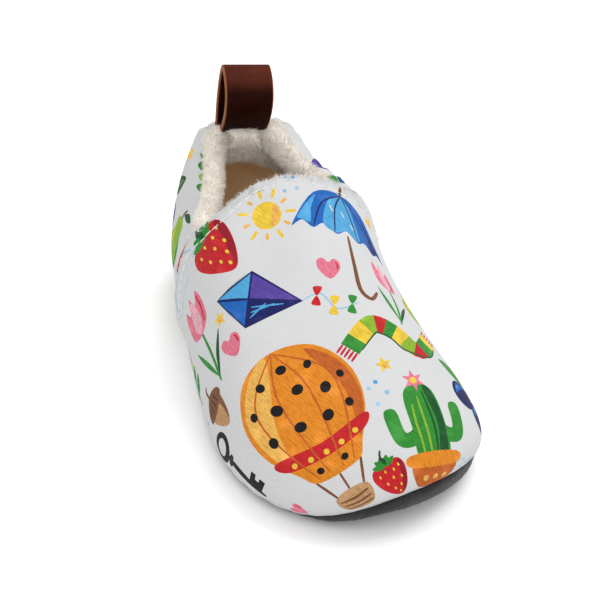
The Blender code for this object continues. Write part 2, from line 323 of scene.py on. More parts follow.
    def sole_edge(self, turns, shift):
        """Sole outline in plan, moved out from the foot by the lip and a further shift."""
        level = np.zeros_like(turns)
        lip = self.rib_values(turns)[..., -1:]
        return self.outside(turns, level) + self.level_normal(turns, level) * (lip + shift)

    def underside(self, points):
        """Height of the sole's underside, flat from heel to ball and sprung at the toe."""
        along = -(points[..., 1] - self.shift[1]) / self.length
        share = np.clip((along - SPRING_START) / (1.0 - SPRING_START), 0.0, None)
        return TOE_SPRING * share ** 2 + self.shift[2]


def creased(turns, climb):
    """Depth of the listed creases, inward."""
    depth = np.zeros(np.shape(turns))
    for crease in CREASES:
        off_turn = np.mod(turns - crease.turn + 0.5, 1.0) - 0.5
        off_climb = climb - crease.climb
        across = (off_turn - crease.lean * off_climb) / crease.turn_reach
        along = off_climb / crease.climb_reach
        depth += crease.depth * MILLIMETRE * np.exp(-across ** 2 - along ** 2)
    return depth


def link_piece(name, mesh):
    piece = bpy.data.objects.new(name, mesh)
    bpy.context.scene.collection.objects.link(piece)
    return piece


def mesh_piece(name, vertices, faces, material, smooth_shading=True):
    """A new object at the origin from points in metres."""
    mesh = bpy.data.meshes.new(name)
    mesh.from_pydata([tuple(vertex) for vertex in vertices], [], faces)
    if smooth_shading:
        mesh.shade_smooth()
    mesh.materials.append(material)
    return link_piece(name, mesh)


def settle(piece):
    """Every piece rides on the one body."""
    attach(piece, BODY)
    return piece


def grid_faces(rows, columns, closed=False):
    """Quads of a grid whose vertices run along its columns first, facing outward when rows climb."""
    faces = []
    across = columns if closed else columns - 1
    for row in range(rows - 1):
        for column in range(across):
            after = (column + 1) % columns
            near, far = row * columns, (row + 1) * columns
            faces.append((near + column, near + after, far + after, far + column))
    return faces


def set_uv(mesh, name, vertex_uv):
    """One UV pair per vertex."""
    layer = mesh.uv_layers.new(name=name)
    corners = np.zeros(len(mesh.loops), dtype=np.int32)
    mesh.loops.foreach_get("vertex_index", corners)
    layer.data.foreach_set("uv", np.asarray(vertex_uv, dtype=np.float32)[corners].ravel())


# Nodes

def add_node(tree, kind, inputs=None, **settings):
    """A node with its settings, and its inputs given as values or as sockets to link."""
    node = tree.nodes.new(kind)
    for key, value in settings.items():
        setattr(node, key, value)
    for key, value in (inputs or {}).items():
        socket = node.inputs[key]
        if isinstance(value, bpy.types.NodeSocket):
            tree.links.new(value, socket)
        else:
            socket.default_value = value
    return node


def new_material(name, roughness, colour=None, sheen=0.0):
    """A node material, its tree and its shader."""
    material = bpy.data.materials.new(name)
    material.use_nodes = True
    tree = material.node_tree
    shader = tree.nodes["Principled BSDF"]
    shader.inputs["Roughness"].default_value = roughness
    shader.inputs["Sheen Weight"].default_value = sheen
    if colour is not None:
        shader.inputs["Base Color"].default_value = opaque(colour)
    return material, tree, shader


def maths(tree, operation, first, second):
    return add_node(tree, "ShaderNodeMath", {0: first, 1: second}, operation=operation).outputs[0]


def summed(tree, *parts):
    """Sum of values, each taken by a share."""
    shares = [maths(tree, "MULTIPLY", value, share) for value, share in parts]
    total = shares[0]
    for more in shares[1:]:
        total = maths(tree, "ADD", total, more)
    return total


# Sockets of a Mix node that work on colours
MIX_FACTOR = 0
MIX_FIRST = 6
MIX_SECOND = 7
MIX_RESULT = 2


def mix_colour(tree, factor, first, second, blend="MIX"):
    node = add_node(tree, "ShaderNodeMix", {MIX_FACTOR: factor, MIX_FIRST: first, MIX_SECOND: second},
                    data_type="RGBA", blend_type=blend)
    return node.outputs[MIX_RESULT]


def tinted(tree, base, colour, mask, amount, blend="MIX"):
    """A base colour with another laid over it, by an amount where the mask is 1."""
    return mix_colour(tree, maths(tree, "MULTIPLY", mask, amount), base, colour, blend)


def opaque(colour):
    return (*colour, 1.0)


def attribute(tree, name):
    """Sockets of a value or colour that the mesh carries."""
    return add_node(tree, "ShaderNodeAttribute", attribute_name=name, attribute_type="GEOMETRY").outputs


def noise(tree, vector, scale, detail=4.0, roughness=0.55):
    node = add_node(tree, "ShaderNodeTexNoise",
                    {"Vector": vector, "Scale": scale, "Detail": detail, "Roughness": roughness})
    return node.outputs["Fac"]


def ramp(tree, value, low, high):
    """Stretch part of a value's range to 0 and 1."""
    node = add_node(tree, "ShaderNodeMapRange", {"Value": value, "From Min": low, "From Max": high},
                    clamp=True)
    return node.outputs["Result"]


def bump(tree, shader, height, strength, distance):
    node = add_node(tree, "ShaderNodeBump", {"Height": height, "Strength": strength, "Distance": distance})
    tree.links.new(node.outputs["Normal"], shader.inputs["Normal"])


def object_mm(tree):
    """Object coordinates in millimetres."""
    where = add_node(tree, "ShaderNodeTexCoord").outputs["Object"]
    scale = (1.0 / MILLIMETRE, 1.0 / MILLIMETRE, 1.0 / MILLIMETRE)
    return add_node(tree, "ShaderNodeMapping", {"Vector": where, "Scale": scale}).outputs["Vector"]


CLOTH_UV = "cloth"
PRINT = "print"
# One unit of the cloth's UV map in millimetres
UV_SPAN = 200.0


def uv_mm(tree, turn=0.0, stretch=(1.0, 1.0, 1.0)):
    """The cloth's own flat coordinates in millimetres, turned and stretched."""
    where = add_node(tree, "ShaderNodeUVMap", uv_map=CLOTH_UV).outputs["UV"]
    flat = add_node(tree, "ShaderNodeMapping",
                    {"Vector": where, "Scale": (UV_SPAN, UV_SPAN, UV_SPAN), "Rotation": (0.0, 0.0, turn)})
    stretched = add_node(tree, "ShaderNodeMapping", {"Vector": flat.outputs["Vector"], "Scale": stretch})
    return stretched.outputs["Vector"]


TWILL_PITCH_MM = 0.56
TWILL_TURN = math.radians(52)
CRAYON_TURN = math.radians(62)
# A wave texture's bands lie 2 pi / 20 apart at scale 1
WAVE_PERIOD = math.pi / 10.0
# How the crayon's strokes and the yarns are stretched along and across
CRAYON_STRETCH = (0.32, 2.0, 1.0)
YARN_STRETCH = (0.9, 2.4, 1.0)
# What multiplies the ink where it is deep and where it is bright, and the tones of thin ink and of soil
DEEP_INK = (0.42, 0.38, 0.48)
BRIGHT_INK = (1.5, 1.5, 1.45)
THIN_INK = (0.95, 0.90, 0.82)
SOIL = (0.66, 0.65, 0.70)
THIN_SHARE = 0.05
# Share by which the weave darkens the colour: painted shade in the twill's grooves, and uneven yarns
WEAVE_SHADE = 0.34


def printed_cloth():
    """White twill with a painted print in the corners' colours, alpha telling ink from bare cloth."""
    material, tree, shader = new_material("printed_twill", roughness=0.85, sheen=0.03)
    shader.inputs["Specular IOR Level"].default_value = 0.22
    ink = attribute(tree, PRINT)
    colour = ink["Color"]
    inked = ink["Alpha"]
    flat = uv_mm(tree)
    crayon = noise(tree, uv_mm(tree, CRAYON_TURN, CRAYON_STRETCH), scale=1.5, detail=5.0, roughness=0.7)
    wash = noise(tree, flat, scale=0.20, detail=3.0, roughness=0.5)
    grit = noise(tree, flat, scale=3.2, detail=3.0, roughness=0.6)
    soil = noise(tree, flat, scale=0.08, detail=3.0)
    strokes = maths(tree, "MULTIPLY", ramp(tree, crayon, low=0.44, high=0.64), inked)
    thin_wash = maths(tree, "MULTIPLY", ramp(tree, wash, low=0.54, high=0.72), inked)
    flecks = maths(tree, "MULTIPLY", ramp(tree, crayon, low=0.30, high=0.24), inked)
    deep = mix_colour(tree, 1.0, colour, opaque(DEEP_INK), "MULTIPLY")
    bright = mix_colour(tree, 1.0, colour, opaque(BRIGHT_INK), "MULTIPLY")
    light = mix_colour(tree, THIN_SHARE, bright, opaque(THIN_INK))
    painted = tinted(tree, colour, deep, strokes, amount=0.62)
    painted = tinted(tree, painted, light, thin_wash, amount=0.38)
    painted = tinted(tree, painted, light, flecks, amount=0.6)
    twill = add_node(tree, "ShaderNodeTexWave",
                     {"Vector": uv_mm(tree, TWILL_TURN), "Scale": WAVE_PERIOD / TWILL_PITCH_MM,
                      "Distortion": 0.6, "Detail": 1.0, "Detail Scale": 1.5},
                     wave_type="BANDS", bands_direction="Y").outputs["Fac"]
    yarns = noise(tree, uv_mm(tree, TWILL_TURN, YARN_STRETCH), scale=2.6, detail=3.0, roughness=0.65)
    weave = summed(tree, (twill, 0.7), (yarns, 0.6), (grit, 0.3))
    # Painted shade in the twill's grooves, mixed with uneven yarns and grit
    weave_shaded_and_toned = mix_colour(tree, WEAVE_SHADE, painted, ramp(tree, weave, low=-0.2, high=0.95), "MULTIPLY")
    soiled = ramp(tree, soil, low=0.40, high=0.75)
    toned = tinted(tree, weave_shaded_and_toned, opaque(SOIL), soiled, amount=0.10, blend="MULTIPLY")
    tree.links.new(toned, shader.inputs["Base Color"])
    bump(tree, shader, weave, strength=0.40, distance=0.00014)
    return material


# Painted shade between the pile's clumps, as a share of its own colour, and how far the painted highlight on
# its tips goes toward white
PILE_GAP_SHADE = np.array((0.80, 0.74, 0.66))
TIP_HIGHLIGHT = 0.4


def fleece_finish(name, colour):
    """Curly pile, with painted shade between its clumps and a painted highlight on its tips."""
    material, tree, shader = new_material(name, roughness=1.0, sheen=0.25)
    shader.inputs["Sheen Roughness"].default_value = 0.6
    where = object_mm(tree)
    clump = noise(tree, where, scale=0.55, detail=4.0, roughness=0.6)
    fine = noise(tree, where, scale=2.6, detail=3.0, roughness=0.6)
    tone = np.array(colour)
    deep = opaque(tone * PILE_GAP_SHADE)
    tips = opaque(tone + (1.0 - tone) * TIP_HIGHLIGHT)
    # Painted shade between the clumps, then a painted highlight on the tips
    shaded = tinted(tree, opaque(tone), deep, ramp(tree, clump, low=0.62, high=0.36), amount=0.5)
    lifted = tinted(tree, shaded, tips, ramp(tree, fine, low=0.48, high=0.75), amount=0.5)
    tree.links.new(lifted, shader.inputs["Base Color"])
    bump(tree, shader, fine, strength=0.5, distance=0.0005)
    return material


CREAM = "cream"
LINING_MOTTLE = (0.80, 0.58, 0.36)
LINING_NAP = (0.88, 0.68, 0.46)


def lining_finish(colours):
    """Brown brushed lining, cream under the vamp."""
    material, tree, shader = new_material("brown_lining", roughness=0.95, sheen=0.04)
    where = object_mm(tree)
    mottle = noise(tree, where, scale=0.25, detail=4.0)
    nap = noise(tree, where, scale=3.5, detail=3.0)
    mixed = tinted(tree, opaque(colours.lining), opaque(LINING_MOTTLE), mottle, amount=0.5)
    speckled = tinted(tree, mixed, opaque(LINING_NAP), ramp(tree, nap, low=0.5, high=0.8), amount=0.3)
    toned = mix_colour(tree, attribute(tree, CREAM)["Fac"], speckled, opaque(colours.fleece))
    tree.links.new(toned, shader.inputs["Base Color"])
    bump(tree, shader, nap, strength=0.3, distance=0.0002)
    return material


SUEDE_WORN = (0.034, 0.034, 0.034)
SUEDE_DEEP = (0.012, 0.012, 0.0125)
SUEDE_FLECK = (0.17, 0.17, 0.165)


def suede_finish(colours):
    """Dark grey suede with a short grainy nap."""
    material, tree, shader = new_material("grey_suede", roughness=0.95, sheen=0.12)
    where = object_mm(tree)
    cloud = noise(tree, where, scale=0.22, detail=4.0)
    grain = noise(tree, where, scale=2.2, detail=5.0, roughness=0.7)
    worn = mix_colour(tree, ramp(tree, cloud, low=0.35, high=0.7), opaque(colours.suede), opaque(SUEDE_WORN))
    grained = tinted(tree, worn, opaque(SUEDE_DEEP), ramp(tree, grain, low=0.58, high=0.40), amount=0.7)
    flecked = tinted(tree, grained, opaque(SUEDE_FLECK), ramp(tree, grain, low=0.60, high=0.72), amount=0.5)
    tree.links.new(flecked, shader.inputs["Base Color"])
    bump(tree, shader, grain, strength=0.6, distance=0.0004)
    return material


EDGE = "edge"
# Attribute that carries the painted highlight on the loop's top
LOOP_TOP_HIGHLIGHT = "top_highlight"
# Paler colour of the painted highlight on the loop's top
LEATHER_TOP_HIGHLIGHT = (0.048, 0.0098, 0.0047)
LEATHER_RUBBED = (0.012, 0.0020, 0.0008)
LEATHER_CUT = (0.24, 0.085, 0.032)
# What multiplies the leather's colour in its paler clouds
LEATHER_CLOUD = (1.7, 1.6, 1.5)
# Roughness of the leather at its smoothest, and how much its pores add
LEATHER_GLOSS = 0.36
PORE_ROUGHNESS = 0.25


def leather_finish(colours):
    """Red-brown leather with pale cut edges, and a painted highlight on the loop's top."""
    material, tree, shader = new_material("brown_leather", roughness=0.46)
    shader.inputs["Specular IOR Level"].default_value = 0.04
    where = object_mm(tree)
    cloud = noise(tree, where, scale=0.18, detail=4.0)
    pores = noise(tree, where, scale=3.0, detail=4.0, roughness=0.65)
    grain = add_node(tree, "ShaderNodeTexVoronoi", {"Vector": where, "Scale": 2.4},
                     feature="DISTANCE_TO_EDGE").outputs["Distance"]
    # Painted highlight: the loop's top is painted paler, where light falls on it
    top_highlit = mix_colour(tree, attribute(tree, LOOP_TOP_HIGHLIGHT)["Fac"], opaque(colours.leather), opaque(LEATHER_TOP_HIGHLIGHT))
    clouded = mix_colour(tree, 1.0, top_highlit, opaque(LEATHER_CLOUD), "MULTIPLY")
    mottled = mix_colour(tree, ramp(tree, cloud, low=0.35, high=0.68), top_highlit, clouded)
    worn = ramp(tree, pores, low=0.55, high=0.75)
    rubbed = tinted(tree, mottled, opaque(LEATHER_RUBBED), worn, amount=0.35)
    edged = mix_colour(tree, attribute(tree, EDGE)["Fac"], rubbed, opaque(LEATHER_CUT))
    tree.links.new(edged, shader.inputs["Base Color"])
    gloss = maths(tree, "ADD", maths(tree, "MULTIPLY", pores, PORE_ROUGHNESS), LEATHER_GLOSS)
    tree.links.new(gloss, shader.inputs["Roughness"])
    height = summed(tree, (ramp(tree, grain, low=0.0, high=0.12), 1.0), (pores, 0.8))
    bump(tree, shader, height, strength=0.25, distance=0.00025)
    return material


# Painted shade in the grooves of the thread's twist
THREAD_SHADE = (0.62, 0.61, 0.63)


def thread_finish(colours):
    """White sewing thread with a twist, painted shade in its grooves."""
    material, tree, shader = new_material("white_thread", roughness=0.7, sheen=0.2)
    twist = add_node(tree, "ShaderNodeTexWave", {"Vector": object_mm(tree), "Scale": 1.2, "Distortion": 1.0},
                     wave_type="BANDS", bands_direction="DIAGONAL").outputs["Fac"]
    twist_shaded = tinted(tree, opaque(colours.thread), opaque(THREAD_SHADE), twist, amount=0.25)
    tree.links.new(twist_shaded, shader.inputs["Base Color"])
    bump(tree, shader, twist, strength=0.3, distance=0.0001)
    return material


# Cloth panels

Panel = namedtuple("Panel", "turns climbs flat boundary")
UNROLL_STEPS = 30
CLOTH_STEP = 5.0 * SPLINE_STEP


def flat_pattern(points, faces):
    """Unroll a grid of points to a flat cloth pattern with the least stretch, in metres."""
    mesh = bpy.data.meshes.new("pattern")
    mesh.from_pydata([tuple(point) for point in points], [], faces)
    mesh.uv_layers.new(name="flat")
    pattern = link_piece("pattern", mesh)
    bpy.context.view_layer.objects.active = pattern
    pattern.select_set(True)
    bpy.ops.object.mode_set(mode="EDIT")
    bpy.ops.mesh.select_all(action="SELECT")
    bpy.ops.uv.unwrap(method="MINIMUM_STRETCH", iterations=UNROLL_STEPS, margin=0.0)
    bpy.ops.object.mode_set(mode="OBJECT")
    corners = np.zeros(len(mesh.loops), dtype=np.int32)
    mesh.loops.foreach_get("vertex_index", corners)
    pairs = np.zeros(len(mesh.loops) * 2, dtype=np.float32)
    mesh.uv_layers["flat"].data.foreach_get("uv", pairs)
    flat = np.zeros((len(points), 2))
    flat[corners] = pairs.reshape(-1, 2)
    area = sum(polygon.area for polygon in mesh.polygons)
    quads = flat[np.array(faces)]
    diagonals = np.stack([quads[:, 2] - quads[:, 0], quads[:, 3] - quads[:, 1]], axis=1)
    flat_area = np.abs(np.linalg.det(diagonals)).sum() / 2.0
    bpy.data.objects.remove(pattern, do_unlink=True)
    bpy.data.meshes.remove(mesh)
    return flat * math.sqrt(area / flat_area)


def turned_upright(flat, low, high, right):
    """Turn a pattern so that low to high points up, and right lies to the right."""
    up = unit((flat[high] - flat[low])[None])[0]
    side = np.array([up[1], -up[0]])
    if (flat[right] - flat[low]) @ side < 0.0:
        side = -side
    middle = (flat[low] + flat[high]) / 2.0
    return np.stack([(flat - middle) @ side, (flat - middle) @ up], axis=1)


def cloth_point(last, turns, climb, lift):
    """Point of a cloth panel that lies off the form, with its creases."""
    off = np.asarray(lift(turns, climb)) - creased(turns, climb)
    return last.wall(turns, climb) + last.wall_out(turns, climb) * off[..., None]


def cloth_normal(last, turns, climb, lift):
    after = cloth_point(last, turns + CLOTH_STEP, climb, lift)
    before = cloth_point(last, turns - CLOTH_STEP, climb, lift)
    above = cloth_point(last, turns, climb + CLOTH_STEP, lift)
    below = cloth_point(last, turns, climb - CLOTH_STEP, lift)
    return unit(np.cross(after - before, above - below))


def lay_panel(last, first, final, columns, rows, top, lift):
    """A panel's grid on the slipper and its flat pattern in millimetres, upright toward the opening."""
    turns, shares = np.meshgrid(np.linspace(first, final, columns), np.linspace(0.0, 1.0, rows))
    turns, climbs = turns.ravel(), (shares * top(turns)).ravel()
    points = cloth_point(last, turns, climbs, lift)
    flat = flat_pattern(points, grid_faces(rows, columns))
    middle = columns // 2
    flat = turned_upright(flat, middle, (rows - 1) * columns + middle, columns - 1)
    around = list(range(columns))
    around += [row * columns + columns - 1 for row in range(1, rows)]
    around += [(rows - 1) * columns + column for column in range(columns - 2, -1, -1)]
    around += [row * columns for row in range(rows - 2, 0, -1)]
    return Panel(turns, climbs, flat / MILLIMETRE, around)


class PatternMap:
    """Finds the place on the slipper of any point of a flat pattern."""

    def __init__(self, panel, columns, rows):
        self.panel = panel
        self.triangles = []
        for a, b, c, d in grid_faces(rows, columns):
            self.triangles += [(a, b, c), (a, c, d)]
        corners = [(x, y, 0.0) for x, y in panel.flat]
        self.tree = BVHTree.FromPolygons(corners, self.triangles)

    def place(self, flat_points):
        """Turns and climb of each flat point."""
        turns = np.zeros(len(flat_points))
        climbs = np.zeros(len(flat_points))
        for k, (x, y) in enumerate(flat_points):
            where, _, index, _ = self.tree.find_nearest((x, y, 0.0))
            corners = list(self.triangles[index])
            a, b, c = self.panel.flat[corners]
            sides = np.array([b - a, c - a]).T
            share = np.linalg.solve(sides, np.array(where[:2]) - a)
            weights = np.array([1.0 - share.sum(), share[0], share[1]])
            turns[k] = weights @ self.panel.turns[corners]
            climbs[k] = weights @ self.panel.climbs[corners]
        return turns, climbs


# Print

# Inks of the print as screen colours from 0 to 255
INKS = {
    "orange": (240, 146, 34),
    "amber": (251, 193, 92),
    "rust": (206, 104, 36),
    "coal": (22, 19, 24),
    "brown": (134, 86, 52),
    "tan": (201, 156, 108),
    "red": (212, 34, 42),
    "crimson": (160, 24, 42),
    "pink": (241, 128, 150),
    "blush": (250, 188, 198),
    "leaf": (52, 150, 52),
    "moss": (22, 88, 40),
    "lime": (150, 194, 54),
    "sky": (86, 178, 230),
    "blue": (28, 108, 196),
    "navy": (22, 30, 100),
    "violet": (92, 72, 164),
    "yellow": (250, 212, 66),
    "mist": (166, 214, 240),
    "white": (248, 247, 250),
}
# How much of an ink's screen colour shows on the cloth
INK_DEPTH = 0.76
CURVE_STEPS = 5
OVAL_POINTS = 22
# Width of a brush stroke's tips as a share of its middle
STROKE_TIP = 0.45
# The usual curve of screen colours
SCREEN_FULL = 255.0
SCREEN_KNEE = 0.04045
SCREEN_SLOPE = 12.92
SCREEN_OFFSET = 0.055
SCREEN_POWER = 2.4


def linear(colour):
    """Screen colour from 0 to 255 as a linear one."""
    share = np.array(colour) / SCREEN_FULL
    curved = ((share + SCREEN_OFFSET) / (1.0 + SCREEN_OFFSET)) ** SCREEN_POWER
    return np.where(share <= SCREEN_KNEE, share / SCREEN_SLOPE, curved)


def through(points, closed):
    """A smooth curve through points."""
    points = np.array(points, dtype=float)
    count = len(points)
    result = []
    for k in range(count if closed else count - 1):
        if closed:
            before, here, after, beyond = (points[(k + j) % count] for j in (-1, 0, 1, 2))
        else:
            before, here, after, beyond = (points[min(max(k + j, 0), count - 1)] for j in (-1, 0, 1, 2))
        for f in np.arange(CURVE_STEPS) / CURVE_STEPS:
            result.append(0.5 * (2.0 * here + (after - before) * f
                                 + (2.0 * before - 5.0 * here + 4.0 * after - beyond) * f ** 2
                                 + (3.0 * here - before - 3.0 * after + beyond) * f ** 3))
    if not closed:
        result.append(points[-1])
    return np.array(result)


def blob(*points):
    """A smooth closed shape."""
    return through(points, True)


def oval(x, y, across, up, turn=0.0):
    """An oval with half sizes across and up, turned by degrees."""
    angle = np.arange(OVAL_POINTS) / OVAL_POINTS * FULL_TURN
    shape = np.stack([across * np.cos(angle), up * np.sin(angle)], axis=1)
    return shape @ turning(turn).T + np.array([x, y])


def turning(degrees):
    angle = math.radians(degrees)
    return np.array([[math.cos(angle), -math.sin(angle)], [math.sin(angle), math.cos(angle)]])


def stroke(width, *points):
    """A brush stroke along a smooth line, thinner at its ends."""
    line = through(points, False)
    steps = unit(np.gradient(line, axis=0))
    sides = np.stack([-steps[:, 1], steps[:, 0]], axis=1)
    share = np.linspace(0.0, 1.0, len(line))
    fullness = STROKE_TIP + (1.0 - STROKE_TIP) * np.sqrt(np.sin(math.pi * share).clip(0.0))
    half = (width / 2.0 * fullness)[:, None]
    return np.concatenate([line + sides * half, (line - sides * half)[::-1]])


def star(x, y, radius, inner, tips):
    """A star with that many tips."""
    angle = np.arange(2 * tips) / tips * math.pi + math.pi / 2.0
    reach = np.where(np.arange(2 * tips) % 2 == 0, radius, inner)
    return np.stack([x + reach * np.cos(angle), y + reach * np.sin(angle)], axis=1)


def draw_balloon():
    """A spotted hot-air balloon."""
    for side in (-1, 1):
        yield "brown", stroke(0.6, (side * 5.4, -11.5), (side * 3, -17.4))
    yield "brown", stroke(0.5, (0, -12), (0, -17.4))
    yield "tan", blob((-3.7, -17), (3.7, -17), (3, -21.6), (-3, -21.6))
    for row in (-18.3, -19.6, -20.8):
        yield "brown", stroke(0.55, (-3.4, row), (0, row - 0.4), (3.4, row))
    yield "orange", blob((0, 17), (8.6, 14.2), (12.9, 6.6), (12, -1.6), (7.4, -9), (4.4, -12.4),
                         (-4.4, -12.4), (-7.4, -9), (-12, -1.6), (-12.9, 6.6), (-8.6, 14.2))
    yield "amber", blob((-1.5, 16.4), (-7.6, 13.4), (-11.8, 6.4), (-10.8, -1.4), (-7.2, -7.6), (-6.4, 2))
    yield "rust", blob((6.4, 14.2), (11.6, 8.4), (12, -0.4), (7.4, -8.2), (9.6, 2.4))
    yield "red", blob((-10.6, -4.2), (0, -5.6), (10.6, -4.2), (8.8, -7.2), (0, -8.6), (-8.8, -7.2))
    for reach in (-8, -3, 3, 8):
        yield "rust", stroke(0.45, (0, 16.8), (reach, 9), (reach * 1.05, 1), (reach * 0.5, -11.8))
    for x, y, size in ((-5.4, 11.2, 1.1), (0.2, 12.4, 1.2), (5.6, 10.8, 1), (-9.6, 6.6, 1), (-4.6, 5, 1.4),
                       (1.2, 6.8, 1.3), (6.4, 4.4, 1.3), (10.4, 5.6, 0.9), (-8.4, -0.4, 1.2),
                       (-2, -0.6, 1.3), (4, -1.2, 1.3), (9, -0.8, 1), (-3, -10.4, 0.8), (2.6, -10.4, 0.8)):
        yield "coal", oval(x, y, size, size * 0.86, x * 9)
    for x in (-7, -3.5, 0, 3.5, 7):
        yield "yellow", oval(x, -6.6 - 0.02 * (56 - x * x), 0.6, 0.6)


def draw_umbrella():
    """An open umbrella with a hooked handle."""
    yield "brown", stroke(1.1, (0, 1), (0, -8), (0.4, -14.6), (2.8, -16.8), (4.8, -14.4))
    yield "blue", blob((0, 13.6), (8.6, 10.6), (14.4, 1), (12, 2.2), (9.4, 0.6), (6.6, 2.4), (3.2, 0.4),
                       (0, 2.4), (-3.2, 0.4), (-6.6, 2.4), (-9.4, 0.6), (-12, 2.2), (-14.4, 1),
                       (-8.6, 10.6))
    yield "sky", blob((0, 13.4), (-4.6, 9.6), (-6.6, 2.6), (-3.2, 0.8), (0, 2.6), (3.2, 0.8), (4.6, 3),
                      (3.4, 9.6))
    yield "sky", blob((-8.2, 10.2), (-13, 3.4), (-12, 2.4), (-10, 2), (-9.6, 6))
    yield "navy", blob((6.8, 10.6), (13.2, 2.2), (11.8, 2.4), (9.4, 1.2), (8.8, 6))
    for reach in (-8.6, -3.4, 3.4, 8.6):
        yield "navy", stroke(0.45, (0, 13.4), (reach * 0.75, 8.4), (reach * 1.08, 0.9))
    yield "brown", stroke(0.9, (0, 13.2), (0, 16))
    for x, y in ((-4.2, 8.6), (-0.6, 8.4), (2, 5.8)):
        yield "white", stroke(0.5, (x, y), (x + 0.8, y - 1.6))


def draw_kite():
    """A kite with a tail of bows."""
    yield "mist", stroke(0.5, (0, -13), (2.6, -18), (-1.6, -23), (1.6, -29))
    for x, y, ink in ((1.8, -17, "red"), (-0.6, -22, "yellow"), (0.6, -27, "leaf")):
        yield ink, blob((x, y), (x - 2.6, y + 1.3), (x - 2.8, y - 1.3))
        yield ink, blob((x, y), (x + 2.6, y + 1.3), (x + 2.8, y - 1.3))
    yield "navy", np.array([(0, 12.6), (8.6, 2), (0, -13.4), (-8.6, 2)])
    yield "blue", np.array([(-0.3, 11.8), (-0.3, 2.3), (-7.8, 2.3)])
    yield "sky", np.array([(0.3, 11.8), (7.8, 2.3), (0.3, 2.3)])
    yield "violet", np.array([(0.3, 1.7), (7.7, 1.7), (0.3, -12.2)])
    for step in (0, 1.6, 3.2):
        yield "sky", stroke(0.5, (-5.6 + step, 1), (-1, -3 - step * 1.6))


def draw_cactus():
    """A cactus in a clay pot."""
    yield "leaf", blob((0, 12.6), (3.4, 10.4), (3.8, 3), (3.4, -4.4), (-3.4, -4.4), (-3.8, 3), (-3.4, 10.4))
    for side in (-1, 1):
        yield "leaf", blob((side * 3, 2.4), (side * 5.4, 1.8), (side * 6, 6.6), (side * 7.4, 7.6),
                           (side * 8.8, 6.4), (side * 8.2, 0.6), (side * 6.2, -1.4), (side * 3, -0.8))
    yield "moss", blob((1.4, 11.8), (3.2, 10), (3.6, 3), (3.2, -4.2), (1.2, -4.2), (2, 3))
    for x in (-2.2, -0.6):
        yield "lime", stroke(0.5, (x, 10 - abs(x)), (x * 1.2, 3), (x, -3.6))
    yield "moss", stroke(0.5, (0.9, 10.6), (1.1, 3), (0.8, -3.8))
    yield "pink", star(0, 13.2, 2.6, 1.2, 6)
    yield "yellow", oval(0, 13.2, 0.8, 0.8)
    yield "rust", blob((-5, -4), (5, -4), (4, -10.8), (-4, -10.8))
    yield "orange", blob((-5.6, -3.2), (5.6, -3.2), (5.4, -5.8), (-5.4, -5.8))
    for x in (-2.6, 0, 2.6):
        yield "amber", oval(x, -8.4, 0.7, 0.7)


def draw_strawberry():
    """A ripe strawberry."""
    yield "red", blob((0, -8.6), (4, -4.6), (6.2, 1.2), (4.6, 4.8), (0, 4.2), (-4.6, 4.8), (-6.2, 1.2),
                      (-4, -4.6))
    yield "crimson", blob((0.6, -8), (4, -4.4), (6, 1.2), (4.8, 4.2), (3.6, -1))
    for x, y in ((-3.6, 1.8), (-1, 2.4), (2, 1.6), (4.2, 2.2), (-2.6, -1.6), (0.4, -0.8), (3.2, -1.8),
                 (-1, -4.4), (1.6, -4.2), (0.2, -6.6)):
        yield "yellow", oval(x, y, 0.36, 0.6)
    for angle in (-64, -30, 0, 30, 64):
        leaf = np.array(blob((0, 0), (1.3, 2.2), (0, 4.8), (-1.3, 2.2))) @ turning(angle).T
        yield "leaf" if angle % 60 else "moss", leaf * (1, 0.8) + (0, 4)
    yield "moss", stroke(0.8, (0, 5), (0.4, 8), (1.6, 9.6))


def draw_key():
    """An old black key."""
    yield "coal", oval(0, 7.6, 4.2, 3.8)
    yield "white", oval(0, 7.8, 2.5, 2.1)
    yield "coal", stroke(1.9, (0, 4.6), (0, -2), (0, -11))
    yield "coal", stroke(1.7, (-1.9, 2.6), (0, 2.9), (1.9, 2.6))
    yield "coal", np.array([(0.4, -9.4), (4.2, -9.6), (4, -7.8), (2.6, -7.8), (2.6, -6.6), (4, -6.4),
                            (3.8, -4.8), (0.4, -5)])


def draw_scarf():
    """A striped scarf with fringes."""
    path = through(((-12, -4), (-6, 2.6), (0, 1), (6, -3.4), (12, 2.6)), False)
    steps = unit(np.gradient(path, axis=0))
    sides = np.stack([-steps[:, 1], steps[:, 0]], axis=1) * 2.5
    left = path + sides
    right = path - sides
    for end in (0, len(path) - 1):
        for share in (0.1, 0.3, 0.5, 0.7, 0.9):
            root = left[end] * share + right[end] * (1 - share)
            away = steps[end] * (-1 if end == 0 else 1)
            yield "red", stroke(0.6, root, root + away * 1.4, root + away * 2.6)
    inks = ("leaf", "yellow", "lime", "red")
    for k in range(len(path) - 1):
        band = np.array([left[k], left[k + 1], right[k + 1], right[k]])
        yield inks[k // 2 % len(inks)], band
    yield "moss", stroke(0.5, *right[1:-1:3])


def draw_blueberries():
    """A bunch of blueberries with leaves."""
    yield "moss", stroke(0.7, (-1, 1), (0.6, 6), (3.6, 8.6))
    for turn, ink in ((58, "leaf"), (-28, "moss")):
        leaf = blob((0, 0), (2.6, 3.6), (0, 9.6), (-2.6, 3.6)) @ turning(turn).T
        yield ink, leaf + (0.4, 3.6)
        vein = np.array([(0, 0.8), (0.2, 4), (0, 8.2)]) @ turning(turn).T + (0.4, 3.6)
        yield "lime", stroke(0.4, *vein)
    for x, y, size, ink in ((4.6, -0.8, 3.6, "violet"), (-4.8, -0.6, 3.8, "navy"),
                            (0.2, -5.4, 4.2, "navy")):
        yield ink, oval(x, y, size, size)
        yield "blue", blob((x - size * 0.8, y), (x - size * 0.3, y + size * 0.78),
                           (x + size * 0.5, y + size * 0.6), (x - size * 0.2, y + size * 0.3))
        yield "coal", star(x + size * 0.15, y - size * 0.1, size * 0.42, size * 0.2, 5)
        yield "sky", oval(x - size * 0.42, y + size * 0.46, size * 0.16, size * 0.1, 40)


